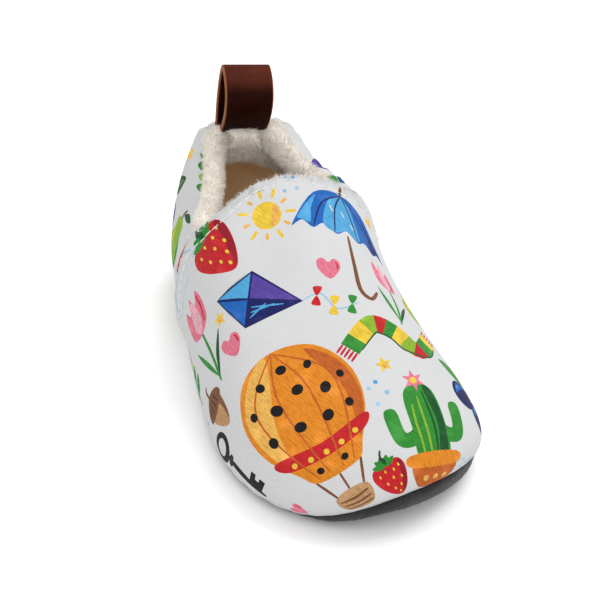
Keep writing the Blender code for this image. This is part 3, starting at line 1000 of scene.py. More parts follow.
def draw_tulip():
    """A tulip on its stem."""
    yield "leaf", stroke(0.9, (0, 2), (0.3, -5), (-0.4, -12))
    yield "leaf", blob((-0.3, -11), (-3.6, -5), (-5.2, 0), (-2, -5.4))
    yield "moss", blob((-0.1, -11), (3, -6.4), (5.4, -2.6), (1.6, -6.4))
    yield "pink", blob((0, 0.8), (3.8, 2.4), (4.6, 7), (3.4, 10.6), (1.6, 8), (0, 11.4), (-1.6, 8),
                       (-3.4, 10.6), (-4.6, 7), (-3.8, 2.4))
    yield "blush", blob((0, 1.2), (2, 4.6), (0, 10.4), (-2, 4.6))
    yield "red", stroke(0.6, (2.6, 2.4), (3.4, 5.6), (3.2, 9.4))


def draw_pear():
    """A pear with a leaf."""
    yield "lime", blob((0, 6.6), (2.4, 5.2), (3, 1.4), (5.6, -2.6), (5, -6.8), (0, -8.8), (-5, -6.8),
                       (-5.6, -2.6), (-3, 1.4), (-2.4, 5.2))
    yield "leaf", blob((1.6, 5.4), (2.8, 1.4), (5.4, -2.6), (4.8, -6.6), (0.8, -8.6), (3.2, -4))
    yield "yellow", blob((-1.4, 4.8), (-2.6, 0.6), (-4.4, -3.6), (-2.6, -3.4))
    yield "brown", stroke(0.8, (0, 6), (0.2, 8.2), (1, 9.8))
    yield "moss", blob((0.6, 8), (3, 10), (6.4, 9.4), (3.6, 7.6))


def draw_acorn():
    """An acorn."""
    yield "tan", blob((0, -7.6), (2.6, -5.2), (4.4, 0.6), (0, 2), (-4.4, 0.6), (-2.6, -5.2))
    yield "brown", blob((1, -6.8), (2.8, -4.6), (4.2, 0.6), (2, 1), (2, -3.4))
    yield "brown", blob((0, 6.2), (4.4, 4), (5.4, 0.8), (0, -0.4), (-5.4, 0.8), (-4.4, 4))
    for k in range(4):
        yield "coal", stroke(0.4, (-4.2 + 2.1 * k, 0.8), (-2.8 + 1.6 * k, 4.6))
    yield "brown", stroke(1, (0, 5.6), (0.4, 8.4), (1.8, 9.4))


def draw_sprig():
    """A small sprig of leaves."""
    yield "moss", stroke(0.6, (0, -10), (0.8, -2), (0, 8))
    for k in range(4):
        height = -6 + 4 * k
        for side in (-1, 1):
            leaf = blob((0, 0), (1.5, 2), (0, 5.6 - 0.6 * k), (-1.5, 2)) @ turning(-56 * side).T
            yield "leaf" if (k + side) % 3 else "lime", leaf + (0.4, height)
    yield "leaf", blob((0, 7), (1.4, 9.2), (0, 12.4), (-1.4, 9.2))


def draw_cloud():
    """The outline of a cloud."""
    yield "mist", stroke(0.6, (-9, -2.4), (-9.4, 0.6), (-6, 1.6), (-4.6, 4.4), (-0.6, 4.8), (1.4, 2.8),
                         (5, 4.2), (7.8, 2), (9.6, -0.4), (8.4, -2.4))
    yield "mist", stroke(0.5, (-8.2, -3.2), (-2, -3), (4, -3.3))
    yield "mist", stroke(0.45, (-3, 1.6), (-1, 2.6), (0.6, 1.2))


def draw_sun():
    """A sun with short rays."""
    yield "yellow", oval(0, 0, 3.8, 3.8)
    yield "amber", blob((0.6, -3.4), (3.4, -1), (2.8, 2.4), (1.2, 0))
    for k in range(11):
        ray = np.array([(0, 4.8), (0, 6), (0, 7.6 - 1 * (k % 2))]) @ turning(k * 360 / 11).T
        yield "amber" if k % 2 else "yellow", stroke(0.9, *ray)


def draw_star():
    """A small yellow star."""
    yield "yellow", star(0, 0, 2.4, 1.1, 5)
    yield "amber", star(0.3, -0.3, 1.2, 0.6, 5)


def draw_crumbs():
    """A few loose dots."""
    for x, y, size, ink in ((-2.4, 1.2, 0.5, "mist"), (0.4, -0.8, 0.6, "mist"), (2.6, 1.6, 0.5, "sky"),
                            (1, 3, 0.4, "mist")):
        yield ink, oval(x, y, size, size)


def draw_heart():
    """A small pink heart."""
    yield "pink", blob((0, -2.6), (2.2, -0.4), (2.4, 1.6), (1.1, 2.2), (0, 1.3), (-1.1, 2.2), (-2.4, 1.6),
                       (-2.2, -0.4))
    yield "red", stroke(0.4, (1.7, -0.2), (1.9, 0.8), (1.5, 1.6))


# Motifs by the last word of their functions
MOTIFS = {draw.__name__.removeprefix("draw_"): draw for draw in (
    draw_balloon, draw_umbrella, draw_kite, draw_cactus, draw_strawberry, draw_key, draw_scarf,
    draw_blueberries, draw_tulip, draw_pear, draw_acorn, draw_sprig, draw_cloud, draw_sun, draw_star,
    draw_crumbs, draw_heart)}

# Each motif's place on a panel's flat pattern, in mm right and up from its middle, and its turn in degrees
Placed = namedtuple("Placed", "motif right up size turn")
VAMP_PRINT = (
    Placed("cloud", -41, 35, 1, 28),
    Placed("cloud", 19, -41, 0.8, 4),
    Placed("cloud", 47, 24, 0.9, -24),
    Placed("balloon", -15, -18, 1.12, 9),
    Placed("umbrella", 13, 26, 1.12, -16),
    Placed("strawberry", -24, 34, 1.15, 30),
    Placed("sun", -7.5, 36, 1, 0),
    Placed("tulip", -36, 15, 1.2, 14),
    Placed("key", -39, -20, 1, 24),
    Placed("cactus", 10, -31, 1.1, -5),
    Placed("scarf", 12.5, -4, 1, -14),
    Placed("blueberries", 31.5, -21, 1.1, -6),
    Placed("pear", 35, 11, 1.1, -16),
    Placed("kite", 49, 4, 0.8, -24),
    Placed("sprig", -51, 11, 1, 20),
    Placed("tulip", 20, 10, 0.95, -16),
    Placed("kite", -17, 15.5, 0.88, 66),
    Placed("heart", -26.5, 7, 1.2, 12),
    Placed("heart", -28, -37, 1, 24),
    Placed("heart", 3, 17.5, 1.25, -14),
    Placed("star", -27.8, 15.2, 0.9, 8),
    Placed("strawberry", -2, -37, 0.66, 16),
    Placed("star", 29, 36, 1, 30),
    Placed("acorn", -38.5, -4, 0.9, 34),
    Placed("star", 6, -11, 0.9, 5),
    Placed("crumbs", 3, -18, 1.1, 70),
    Placed("crumbs", 1.5, 41.5, 1, 40),
    Placed("crumbs", -49, -6, 1, 10),
)
BACK_PRINT = (
    Placed("cloud", -32, 13, 0.9, 4),
    Placed("cloud", 60, -9, 0.8, -12),
    Placed("sun", 3, 13, 0.9, 0),
    Placed("pear", 36, 1, 1, 12),
    Placed("strawberry", 54, 11, 1, -22),
    Placed("blueberries", 21, 0, 1, 8),
    Placed("sprig", 29, 21, 0.9, 74),
    Placed("tulip", -14, 2, 1, -6),
    Placed("cactus", 4, -11, 0.9, 4),
    Placed("key", -46, -2, 0.95, -18),
    Placed("acorn", -30, -6, 0.95, 14),
    Placed("kite", -58, 8, 0.62, 14),
    Placed("scarf", 40, -16, 0.85, 4),
    Placed("blueberries", -42, 21, 0.9, 20),
    Placed("heart", 43, 16, 1.1, 10),
    Placed("heart", -24, 16, 0.9, -10),
    Placed("star", 18, 16, 1, 0),
    Placed("star", -64, -9, 1, 14),
    Placed("crumbs", 27, -12, 1, 30),
    Placed("crumbs", -40, 10, 1, 0),
)


def placed_shapes(layout):
    """Ink and outline of every shape of a layout, in painting order, in mm."""
    shapes = []
    for spot in layout:
        turn = turning(spot.turn)
        for ink, outline in MOTIFS[spot.motif]():
            shapes.append((ink, np.asarray(outline) * spot.size @ turn.T + (spot.right, spot.up)))
    return shapes


# Cloth

# Climbs at which the panels are cut, and how much lower and how far in the vamp's corners are cut
VAMP_TOP = 1.025
CORNER_CUT = 0.100
CORNER_REACH = 0.035
BACK_TOP = RIM_CLIMB + 1.0
# Turns by which the back panel reaches under the vamp, and its lift as a share of the vamp's
BACK_TUCK = 0.022
BACK_LIFT = 0.7
# The vamp's two side edges with the way in from each, and the step by which distances are measured
VAMP_SIDES = ((OUTER_SEAM, 1.0), (INNER_SEAM, -1.0))
EDGE_STEP = 0.01
VAMP_COLUMNS = 121
VAMP_ROWS = 47
BACK_COLUMNS = 97
BACK_ROWS = 31
# How far in from its edge the vamp lifts off the back panel
LAP_REACH = 0.0060
# How much nearer the stitching runs to the vamp's side edges than to its throat
SIDE_ROW = 0.0020
# Depth and reach of the trough and the ripples along the stitching
STITCH_TROUGH = 0.00028
TROUGH_REACH = 0.0009
SEWN_RIPPLE = 0.00010
SEWN_RIPPLES = 43
SEWN_WANDER = 0.6
SEWN_REACH = 0.0024
# Puckers along the sole, and how they fade toward the middle of the toe
FOOT_PUCKER = 0.00014
FOOT_PUCKERS = 61
FOOT_WANDER = 1.6
FOOT_REACH = 0.12
TOE_PUCKER = 0.2
TOE_SMOOTH = 0.04
TOE_EASE = 0.10
# Gathers of the elastic in the collar
GATHER = 0.00038
GATHER_WANDER = 1.4
GATHERS = 47
GATHER_START = 0.72
# Rolled edge of the collar on the inner side of the foot, and where it begins and ends in turns
COLLAR_ROLL = 0.0022
ROLL_CUT = 0.032
ROLL_START = 0.84
ROLL_EASE = 0.06
INNER_ROLL = (0.74, 0.89)
# Depth of the cloth's turned edge, and how near points of the print are taken as one
CLOTH_EDGE = 0.0010
MERGE_MM = 1e-3
# Waves that make a ripple uneven: how many round the slipper, their share and their shift
WANDERS = ((9.0, 1.0, 0.0), (5.0, 0.7, 1.0))


def vamp_top(turns):
    """Climb at which the vamp is cut, lower at its two corners."""
    return VAMP_TOP - CORNER_CUT * smooth((from_toe(turns) - OUTER_SEAM + CORNER_REACH) / CORNER_REACH)


def back_top(turns):
    """Climb at which the back panel is cut, over the rim, shorter where the collar rolls out."""
    return BACK_TOP - ROLL_CUT * collar_roll(turns) / COLLAR_ROLL


def side_stride(last, seam, way, climb):
    """Metres to a turn, going in from one of the vamp's sides."""
    held = np.minimum(climb, 1.0)
    edge = np.full(np.shape(climb), seam)
    step = last.outside(edge + way * EDGE_STEP, held) - last.outside(edge, held)
    return np.linalg.norm(step, axis=-1) / EDGE_STEP


def throat_stride(last, turns):
    """Metres to a whole climb, just below the throat."""
    near = np.full(np.shape(turns), 1.0 - 2.0 * EDGE_STEP)
    step = last.outside(turns, near + EDGE_STEP) - last.outside(turns, near)
    return np.linalg.norm(step, axis=-1) / EDGE_STEP


def vamp_edges(last, turns, climb):
    """Distances from the vamp's sides and from its throat, in metres."""
    side = np.full(np.shape(turns), np.inf)
    for seam, way in VAMP_SIDES:
        side = np.minimum(side, (turns - seam) * way * side_stride(last, seam, way, climb))
    return side, (vamp_top(turns) - climb) * throat_stride(last, turns)


def waver(turns, count, wander):
    """An uneven ripple round the slipper."""
    angle = FULL_TURN * turns
    drift = sum(share * np.sin(waves * angle + shift) for waves, share, shift in WANDERS)
    return np.sin(count * angle + wander * drift)


def foot_pucker(turns, climb):
    """Small gathers where the cloth is sewn to the sole."""
    away = TOE_PUCKER + (1.0 - TOE_PUCKER) * smooth((from_toe(turns) - TOE_SMOOTH) / TOE_EASE)
    return FOOT_PUCKER * away * waver(turns, FOOT_PUCKERS, FOOT_WANDER) * (1.0 - smooth(climb / FOOT_REACH))


def vamp_lift(last, sizes):
    """How far the vamp lies off the form at any place."""

    def lift(turns, climb):
        side, top = vamp_edges(last, turns, climb)
        lap = sizes.vamp_lap * (1.0 - smooth(side / LAP_REACH))
        from_row = np.minimum(side + SIDE_ROW, top) - sizes.stitch_inset
        trough = STITCH_TROUGH * np.exp(-(from_row / TROUGH_REACH) ** 2)
        near_row = np.exp(-(from_row / SEWN_REACH) ** 2)
        ripple = SEWN_RIPPLE * waver(turns, SEWN_RIPPLES, SEWN_WANDER) * near_row
        return sizes.cloth_lift + lap - trough + ripple + foot_pucker(turns, climb)

    return lift


def collar_roll(turns):
    """How far the collar rolls out on the inner side of the foot."""
    place = np.mod(turns, 1.0)
    start, end = INNER_ROLL
    return COLLAR_ROLL * smooth((place - start) / ROLL_EASE) * (1.0 - smooth((place - end) / ROLL_EASE))


def back_lift(sizes):
    """How far the back panel lies off the form, gathered by the elastic in its collar."""

    def lift(turns, climb):
        pulled = smooth((climb - GATHER_START) / (1.0 - GATHER_START))
        gather = GATHER * waver(turns, GATHERS, GATHER_WANDER) * pulled
        roll = collar_roll(turns) * smooth((climb - ROLL_START) / (1.0 - ROLL_START))
        return BACK_LIFT * sizes.cloth_lift + gather + roll + foot_pucker(turns, climb)

    return lift


def wound_round(points, outline):
    """Whether each point lies inside an outline, crossings of the outline with itself filled."""
    turns = np.zeros(len(points), dtype=int)
    x, y = points.T
    for (ax, ay), (bx, by) in zip(outline, np.roll(outline, -1, axis=0)):
        left = (bx - ax) * (y - ay) - (x - ax) * (by - ay)
        turns += ((ay <= y) & (by > y) & (left > 0.0)).astype(int)
        turns -= ((by <= y) & (ay > y) & (left < 0.0)).astype(int)
    return turns != 0


def print_mesh(panel, layout, bare):
    """Triangles of a flat pattern cut along every printed shape, with the ink of each."""
    outline = panel.flat[panel.boundary]
    rim = set(panel.boundary)
    shapes = placed_shapes(layout)
    points = []
    edges = []
    for shape in [outline] + [shape for _, shape in shapes]:
        first = len(points)
        points += [Vector(point) for point in shape]
        edges += [(first + k, first + (k + 1) % len(shape)) for k in range(len(shape))]
    points += [Vector(point) for k, point in enumerate(panel.flat) if k not in rim]
    vertices, _, triangles, _, _, _ = delaunay_2d_cdt(points, edges, [], 0, MERGE_MM)
    flat = np.array([tuple(vertex) for vertex in vertices])
    triangles = np.array(triangles)
    a, b, c = (flat[triangles[:, k]] for k in range(3))
    clockwise = np.cross(b - a, c - a) < 0.0
    triangles[clockwise] = triangles[clockwise][:, ::-1]
    middles = (a + b + c) / 3.0
    kept = wound_round(middles, outline)
    triangles = triangles[kept]
    middles = middles[kept]
    colours = np.tile((*bare, 0.0), (len(triangles), 1))
    for ink, shape in shapes:
        near = np.all((middles >= shape.min(axis=0)) & (middles <= shape.max(axis=0)), axis=1)
        chosen = np.flatnonzero(near)
        chosen = chosen[wound_round(middles[chosen], shape)]
        colours[chosen] = (*bare, 0.0) if ink == "white" else (*(linear(INKS[ink]) * INK_DEPTH), 1.0)
    used, renumbered = np.unique(triangles, return_inverse=True)
    triangles = [tuple(int(corner) for corner in row) for row in renumbered.reshape(-1, 3)]
    return flat[used], triangles, colours


def open_edges(triangles):
    """Directed edges that only one triangle has."""
    sides = {}
    for triangle in triangles:
        for here, after in zip(triangle, triangle[1:] + triangle[:1]):
            sides[(here, after)] = True
    return [side for side in sides if (side[1], side[0]) not in sides]


def make_cloth(name, last, panel, pattern, lift, layout, bare, material):
    """A printed panel lying on the form, with a thin turned edge."""
    flat, triangles, colours = print_mesh(panel, layout, bare)
    turns, climbs = pattern.place(flat)
    points = cloth_point(last, turns, climbs, lift)
    normals = cloth_normal(last, turns, climbs, lift)
    edges = open_edges(triangles)
    rim = sorted({corner for edge in edges for corner in edge})
    hem = {corner: len(points) + k for k, corner in enumerate(rim)}
    points = np.concatenate([points, points[rim] - normals[rim] * CLOTH_EDGE])
    normals = np.concatenate([normals, normals[rim]])
    uv = np.concatenate([flat, flat[rim]]) / UV_SPAN + 0.5
    for here, after in edges:
        triangles += [(after, here, hem[here]), (after, hem[here], hem[after])]
    plain = np.tile((*bare, 0.0), (2 * len(edges), 1))
    colours = np.concatenate([colours, plain])
    piece = mesh_piece(name, points, triangles, material)
    mesh = piece.data
    set_uv(mesh, CLOTH_UV, uv)
    print_layer = mesh.color_attributes.new(name=PRINT, type="FLOAT_COLOR", domain="CORNER")
    print_layer.data.foreach_set("color", np.repeat(colours, 3, axis=0).astype(np.float32).ravel())
    mesh.normals_split_custom_set_from_vertices([tuple(normal) for normal in normals])
    return piece


class MakeVamp(bpy.types.Operator):
    """Printed vamp from the throat to the toe"""

    bl_idname = "slipper.make_vamp"
    bl_label = "Vamp"

    def execute(self, context):
        sizes = context.scene.slipper_sizes
        colours = context.scene.slipper_colours
        last = Last(sizes)
        lift = vamp_lift(last, sizes)
        panel = lay_panel(last, OUTER_SEAM, INNER_SEAM, VAMP_COLUMNS, VAMP_ROWS, vamp_top, lift)
        pattern = PatternMap(panel, VAMP_COLUMNS, VAMP_ROWS)
        vamp = make_cloth("vamp", last, panel, pattern, lift, VAMP_PRINT, colours.cloth, printed_cloth())
        settle(vamp)
        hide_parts("upper")
        return {"FINISHED"}


class MakeBackPanel(bpy.types.Operator):
    """Printed back panel, gathered along the collar"""

    bl_idname = "slipper.make_back_panel"
    bl_label = "Back panel"

    def execute(self, context):
        sizes = context.scene.slipper_sizes
        colours = context.scene.slipper_colours
        last = Last(sizes)
        lift = back_lift(sizes)
        panel = lay_panel(last, INNER_SEAM - BACK_TUCK, OUTER_SEAM + 1.0 + BACK_TUCK,
                          BACK_COLUMNS, BACK_ROWS, back_top, lift)
        pattern = PatternMap(panel, BACK_COLUMNS, BACK_ROWS)
        back = make_cloth("back_panel", last, panel, pattern, lift, BACK_PRINT, colours.cloth,
                          printed_cloth())
        settle(back)
        return {"FINISHED"}


# Repeated pieces

def new_tree(name, sockets):
    """A geometry node tree with named inputs, and its ends."""
    tree = bpy.data.node_groups.new(name, "GeometryNodeTree")
    tree.interface.new_socket("Geometry", in_out="INPUT", socket_type="NodeSocketGeometry")
    tree.interface.new_socket("Geometry", in_out="OUTPUT", socket_type="NodeSocketGeometry")
    for socket, kind in sockets:
        tree.interface.new_socket(socket, in_out="INPUT", socket_type="NodeSocket" + kind)
    start = tree.nodes.new("NodeGroupInput").outputs
    end = tree.nodes.new("NodeGroupOutput").inputs
    return tree, start, end


def grown(context, name, base, tree, values):
    """The plain mesh that a node tree makes from a base object, which is then removed."""
    modifier = base.modifiers.new(name, "NODES")
    modifier.node_group = tree
    for item in tree.interface.items_tree:
        if item.in_out == "INPUT" and item.name in values:
            modifier[item.identifier] = values[item.name]
    evaluated = base.evaluated_get(context.evaluated_depsgraph_get())
    mesh = bpy.data.meshes.new_from_object(evaluated)
    mesh.name = name
    bpy.data.objects.remove(base, do_unlink=True)
    return link_piece(name, mesh)


COVER = "cover"
STRAND_SIDES = 3
# Smallest and largest strand as a share of the given length
STRAND_SIZES = (0.6, 1.25)


def pile_tree():
    """Short fibres scattered over a surface, as thickly as its cover says."""
    tree, start, end = new_tree("pile", (
        ("Density", "Float"), ("Length", "Float"), ("Thickness", "Float"), ("Lean", "Float"),
        ("Seed", "Int"), ("Material", "Material")))
    cover = add_node(tree, "GeometryNodeInputNamedAttribute", {"Name": COVER}, data_type="FLOAT")
    thick = maths(tree, "MULTIPLY", cover.outputs[0], start["Density"])
    scatter = add_node(tree, "GeometryNodeDistributePointsOnFaces",
                       {"Mesh": start["Geometry"], "Density": thick, "Seed": start["Seed"]},
                       distribute_method="RANDOM")
    half = maths(tree, "MULTIPLY", start["Thickness"], 0.5)
    strand = add_node(tree, "GeometryNodeMeshCone",
                      {"Vertices": STRAND_SIDES, "Side Segments": 1, "Radius Top": 0.0,
                       "Radius Bottom": half, "Depth": start["Length"]}, fill_type="NONE")
    lean_low = maths(tree, "MULTIPLY", start["Lean"], -1.0)
    low = add_node(tree, "ShaderNodeCombineXYZ", {"X": lean_low, "Y": lean_low, "Z": 0.0}).outputs[0]
    high = add_node(tree, "ShaderNodeCombineXYZ", {"X": start["Lean"], "Y": start["Lean"], "Z": FULL_TURN})
    tilt = add_node(tree, "FunctionNodeRandomValue",
                    {"Min": low, "Max": high.outputs[0], "Seed": start["Seed"]}, data_type="FLOAT_VECTOR")
    euler = add_node(tree, "FunctionNodeEulerToRotation", {0: tilt.outputs[0]})
    rotation = add_node(tree, "FunctionNodeRotateRotation",
                        {"Rotation": scatter.outputs["Rotation"], "Rotate By": euler.outputs[0]},
                        rotation_space="LOCAL")
    smallest, largest = STRAND_SIZES
    size = add_node(tree, "FunctionNodeRandomValue", {2: smallest, 3: largest, "Seed": start["Seed"]},
                    data_type="FLOAT")
    placed = add_node(tree, "GeometryNodeInstanceOnPoints",
                      {"Points": scatter.outputs["Points"], "Instance": strand.outputs["Mesh"],
                       "Rotation": rotation.outputs[0], "Scale": size.outputs[1]})
    real = add_node(tree, "GeometryNodeRealizeInstances", {"Geometry": placed.outputs[0]})
    done = add_node(tree, "GeometryNodeSetMaterial",
                    {"Geometry": real.outputs[0], "Material": start["Material"]})
    tree.links.new(done.outputs[0], end["Geometry"])
    return tree


OUTWARD = "outward"
STITCH_SEGMENTS = 8
STITCH_RINGS = 7


def stitch_tree():
    """Stitches laid along a line."""
    tree, start, end = new_tree("stitches", (
        ("Pitch", "Float"), ("Length", "Float"), ("Thread", "Float"), ("Material", "Material")))
    line = add_node(tree, "GeometryNodeMeshToCurve", {"Mesh": start["Geometry"]})
    spaced = add_node(tree, "GeometryNodeResampleCurve",
                      {"Curve": line.outputs[0], "Length": start["Pitch"]}, mode="LENGTH")
    half = maths(tree, "MULTIPLY", start["Length"], 0.5)
    thin = maths(tree, "MULTIPLY", start["Thread"], 0.5)
    size = add_node(tree, "ShaderNodeCombineXYZ", {"X": half, "Y": thin, "Z": thin}).outputs[0]
    bead = add_node(tree, "GeometryNodeMeshUVSphere",
                    {"Segments": STITCH_SEGMENTS, "Rings": STITCH_RINGS, "Radius": 1.0})
    stitch = add_node(tree, "GeometryNodeTransform", {"Geometry": bead.outputs["Mesh"], "Scale": size})
    tangent = add_node(tree, "GeometryNodeInputTangent").outputs[0]
    outward = add_node(tree, "GeometryNodeInputNamedAttribute", {"Name": OUTWARD}, data_type="FLOAT_VECTOR")
    ahead = add_node(tree, "FunctionNodeAlignRotationToVector", {"Vector": tangent}, axis="X")
    upright = add_node(tree, "FunctionNodeAlignRotationToVector",
                       {"Rotation": ahead.outputs[0], "Vector": outward.outputs[0]},
                       axis="Z", pivot_axis="X")
    placed = add_node(tree, "GeometryNodeInstanceOnPoints",
                      {"Points": spaced.outputs[0], "Instance": stitch.outputs[0],
                       "Rotation": upright.outputs[0]})
    real = add_node(tree, "GeometryNodeRealizeInstances", {"Geometry": placed.outputs[0]})
    shaded = add_node(tree, "GeometryNodeSetShadeSmooth", {"Geometry": real.outputs[0]})
    done = add_node(tree, "GeometryNodeSetMaterial",
                    {"Geometry": shaded.outputs[0], "Material": start["Material"]})
    tree.links.new(done.outputs[0], end["Geometry"])
    return tree


# Climb at which the stitching starts, its lift off the cloth in threads, and stitch length in pitches
STITCH_FOOT = 0.03
STITCH_LIFT = 0.25
STITCH_REACH = 1.02
LINE_POINTS = 200
# Share of the inset within which a point still counts as lying on the row
ROW_SLACK = 0.98


def stitch_row(last, sizes):
    """Turns and climb along the top stitching, up one side, round the throat and down the other."""
    climbs = np.linspace(STITCH_FOOT, VAMP_TOP, LINE_POINTS)
    turns = np.linspace(OUTER_SEAM, INNER_SEAM, LINE_POINTS)
    sides = []
    for seam, way in VAMP_SIDES:
        inset = (sizes.stitch_inset - SIDE_ROW) / side_stride(last, seam, way, climbs)
        sides.append(np.stack([seam + way * inset, climbs], axis=1))
    throat = np.stack([turns, vamp_top(turns) - sizes.stitch_inset / throat_stride(last, turns)], axis=1)
    line = np.concatenate([sides[0], throat, sides[1][::-1]])
    side, top = vamp_edges(last, line[:, 0], line[:, 1])
    return line[np.minimum(side + SIDE_ROW, top) > ROW_SLACK * sizes.stitch_inset]


class MakeStitching(bpy.types.Operator):
    """Top stitching round the vamp's raw edge"""

    bl_idname = "slipper.make_stitching"
    bl_label = "Top stitching"

    def execute(self, context):
        sizes = context.scene.slipper_sizes
        last = Last(sizes)
        lift = vamp_lift(last, sizes)
        turns, climbs = stitch_row(last, sizes).T
        normals = cloth_normal(last, turns, climbs, lift)
        points = cloth_point(last, turns, climbs, lift) + normals * sizes.thread * STITCH_LIFT
        mesh = bpy.data.meshes.new("row")
        edges = [(k, k + 1) for k in range(len(points) - 1)]
        mesh.from_pydata([tuple(point) for point in points], edges, [])
        outward = mesh.attributes.new(OUTWARD, "FLOAT_VECTOR", "POINT")
        outward.data.foreach_set("vector", normals.astype(np.float32).ravel())
        row = link_piece("row", mesh)
        stitches = grown(context, "top_stitching", row, stitch_tree(), {
            "Pitch": sizes.stitch_pitch,
            "Length": sizes.stitch_pitch * STITCH_REACH,
            "Thread": sizes.thread,
            "Material": thread_finish(context.scene.slipper_colours)})
        settle(stitches)
        return {"FINISHED"}


# Fleece and lining

FLEECE_COLUMNS = 360
RIM_ROWS = 20
BAND_ROWS = 24
FLEECE_EASE = 0.02
# Angles over the rim at which the fleece comes out from under the cloth
VAMP_FLEECE_ANGLE = math.radians(34)
OUTER_FLEECE_ANGLE = math.radians(-38)
INNER_FLEECE_ANGLE = math.radians(32)
HEEL_FLEECE_ANGLE = math.radians(96)
# Climb lost for each radian that the fleece reaches down the outer face
ROLL_CLIMB = 0.10
# Share of the fleece's own rim over which it comes out from under the rolled cloth, and where it turns in
ROLL_TUCK = 0.12
ROLL_OVER = 0.2
# Turns from the heel within which the fleece is puffed up round the loop's foot, and over which that fades
LOOP_HALF = 0.090
LOOP_FADE = 0.060
LOOP_PUFF = 0.0042
# Turns from the heel where the collar's sides begin, and over which the fleece changes there
BESIDE_START = 0.05
BESIDE_REACH = 0.13
# Depth of the pile on the vamp's rim, what other places add, and the share of the rim that it takes to rise
PLUMP_VAMP = 0.12
PLUMP_BACK = 0.22
PLUMP_SIDE = 0.26
PLUMP_INNER = -0.40
PLUMP_RISE = 0.30
# Depth of the pile behind the vamp, what other places add, and the share of the rim where that begins
DEEP_VAMP = 0.45
DEEP_BACK = 0.55
DEEP_INNER = -0.40
DEEP_OUTER = -0.88
DEEP_START = 0.35
# How much thinner the pile gets toward its lower end, and where that begins
BAND_THIN = 0.92
BAND_THIN_START = 0.70
# Climb by which it reaches lower at the sides, with the turns from the heel where that starts and its reach
BAND_DROP = 0.34
INNER_DROP = (0.015, 0.08)
OUTER_DROP = (0.05, 0.13)
# Columns either way over which the fleece is evened out inside, and the share of the rim where that starts
ROUNDING = 22
ROUND_START = 0.4
CLUMP = 0.00050
CLUMP_SIZE = 0.0021
TUFT = 0.00030
TUFT_SIZE = 0.0007
# Fibres to a square metre, how thickly they grow under the vamp, and how they lie
PILE_DENSITY = 1.5e7
VAMP_COVER = 0.15
COVER_EASE = 0.06
PILE_LENGTH = 0.0013
PILE_THICKNESS = 0.00013
PILE_LEAN = 0.9
PILE_SEED = 4
# Ragged strip along the vamp's raw edge
RAW_HALF = 0.0007
RAW_BULGE = 0.00075
RAW_POINTS = 420
RAW_LUMPS = 1.3
RAW_DENSITY = 2.2e7
RAW_LENGTH = 0.0017
RAW_LEAN = 1.0
RAW_SEED = 7


def tufted(points, out):
    """Push points out in soft clumps and fine tufts."""
    moved = np.empty_like(points)
    for k, (point, way) in enumerate(zip(points, out)):
        where = Vector(point)
        push = CLUMP * field.noise(where / CLUMP_SIZE) + TUFT * field.noise(where / TUFT_SIZE)
        moved[k] = point + way * push
    return moved


def fleece_end(sizes, turns):
    """Climb down to which the fleece reaches inside, lower away from the heel."""
    away = from_heel(turns)
    inner, outer = (smooth((away - start) / reach) for start, reach in (INNER_DROP, OUTER_DROP))
    return sizes.fleece_band - BAND_DROP * np.where(on_inner_side(turns), inner, outer)


def fleece_rows(last, sizes):
    """Rows of points and outward directions of the fleece, over the rim and down the inner wall."""
    turns = np.arange(FLEECE_COLUMNS) / FLEECE_COLUMNS
    back = at_back(turns, FLEECE_EASE)
    near_loop = smooth((LOOP_HALF + LOOP_FADE - from_heel(turns)) / LOOP_FADE)
    beside = back * smooth((from_heel(turns) - BESIDE_START) / BESIDE_REACH)
    inner_side = beside * on_inner_side(turns)
    outer_side = beside - inner_side
    roll = collar_roll(turns)
    first = VAMP_FLEECE_ANGLE + (HEEL_FLEECE_ANGLE - VAMP_FLEECE_ANGLE) * back
    first = first + (OUTER_FLEECE_ANGLE - HEEL_FLEECE_ANGLE) * outer_side
    first = first + (INNER_FLEECE_ANGLE - HEEL_FLEECE_ANGLE) * roll / COLLAR_ROLL
    band = fleece_end(sizes, turns)
    plump = PLUMP_VAMP + PLUMP_BACK * back + PLUMP_SIDE * beside + PLUMP_INNER * inner_side
    plump = sizes.fleece_pile * plump
    deep = DEEP_VAMP + DEEP_BACK * back + DEEP_INNER * inner_side + DEEP_OUTER * outer_side
    deep = sizes.fleece_pile * deep
    points = []
    outs = []
    for share in np.linspace(0.0, 1.0, RIM_ROWS):
        angle = first + (math.pi - first) * share
        climb = 1.0 + np.minimum(angle, 0.0) * ROLL_CLIMB
        over = np.maximum(angle, 0.0)
        on_face = (angle < 0.0)[:, None]
        out = np.where(on_face, last.normal(turns, climb), last.rim_out(turns, over))
        start = np.where(on_face, last.outside(turns, climb), last.rim(turns, over))
        turned_in = smooth((share - DEEP_START) / (1.0 - DEEP_START))
        rolled = smooth(share / ROLL_TUCK) - smooth((share - ROLL_OVER) / (1.0 - ROLL_OVER))
        pile = plump * smooth(share / PLUMP_RISE) + (deep - plump) * turned_in
        pile = pile + LOOP_PUFF * near_loop * np.sin(math.pi * share) ** 2 + roll * rolled
        points.append(start + out * pile[:, None])
        outs.append(out)
    for share in np.linspace(0.0, 1.0, BAND_ROWS + 1)[1:]:
        climb = 1.0 - (1.0 - band) * share
        out = -last.level_normal(turns, climb)
        pile = deep * (1.0 - BAND_THIN * smooth((share - BAND_THIN_START) / (1.0 - BAND_THIN_START)))
        points.append(last.inside(turns, climb) + out * pile[:, None])
        outs.append(out)
    points = np.array(points)
    evened = smooth((np.arange(len(points)) / RIM_ROWS - ROUND_START) / (1.0 - ROUND_START))[:, None, None]
    shifts = range(-ROUNDING, ROUNDING + 1)
    rounded = sum(np.roll(points, shift, axis=1) for shift in shifts) / len(shifts)
    return points + (rounded - points) * evened, np.array(outs)


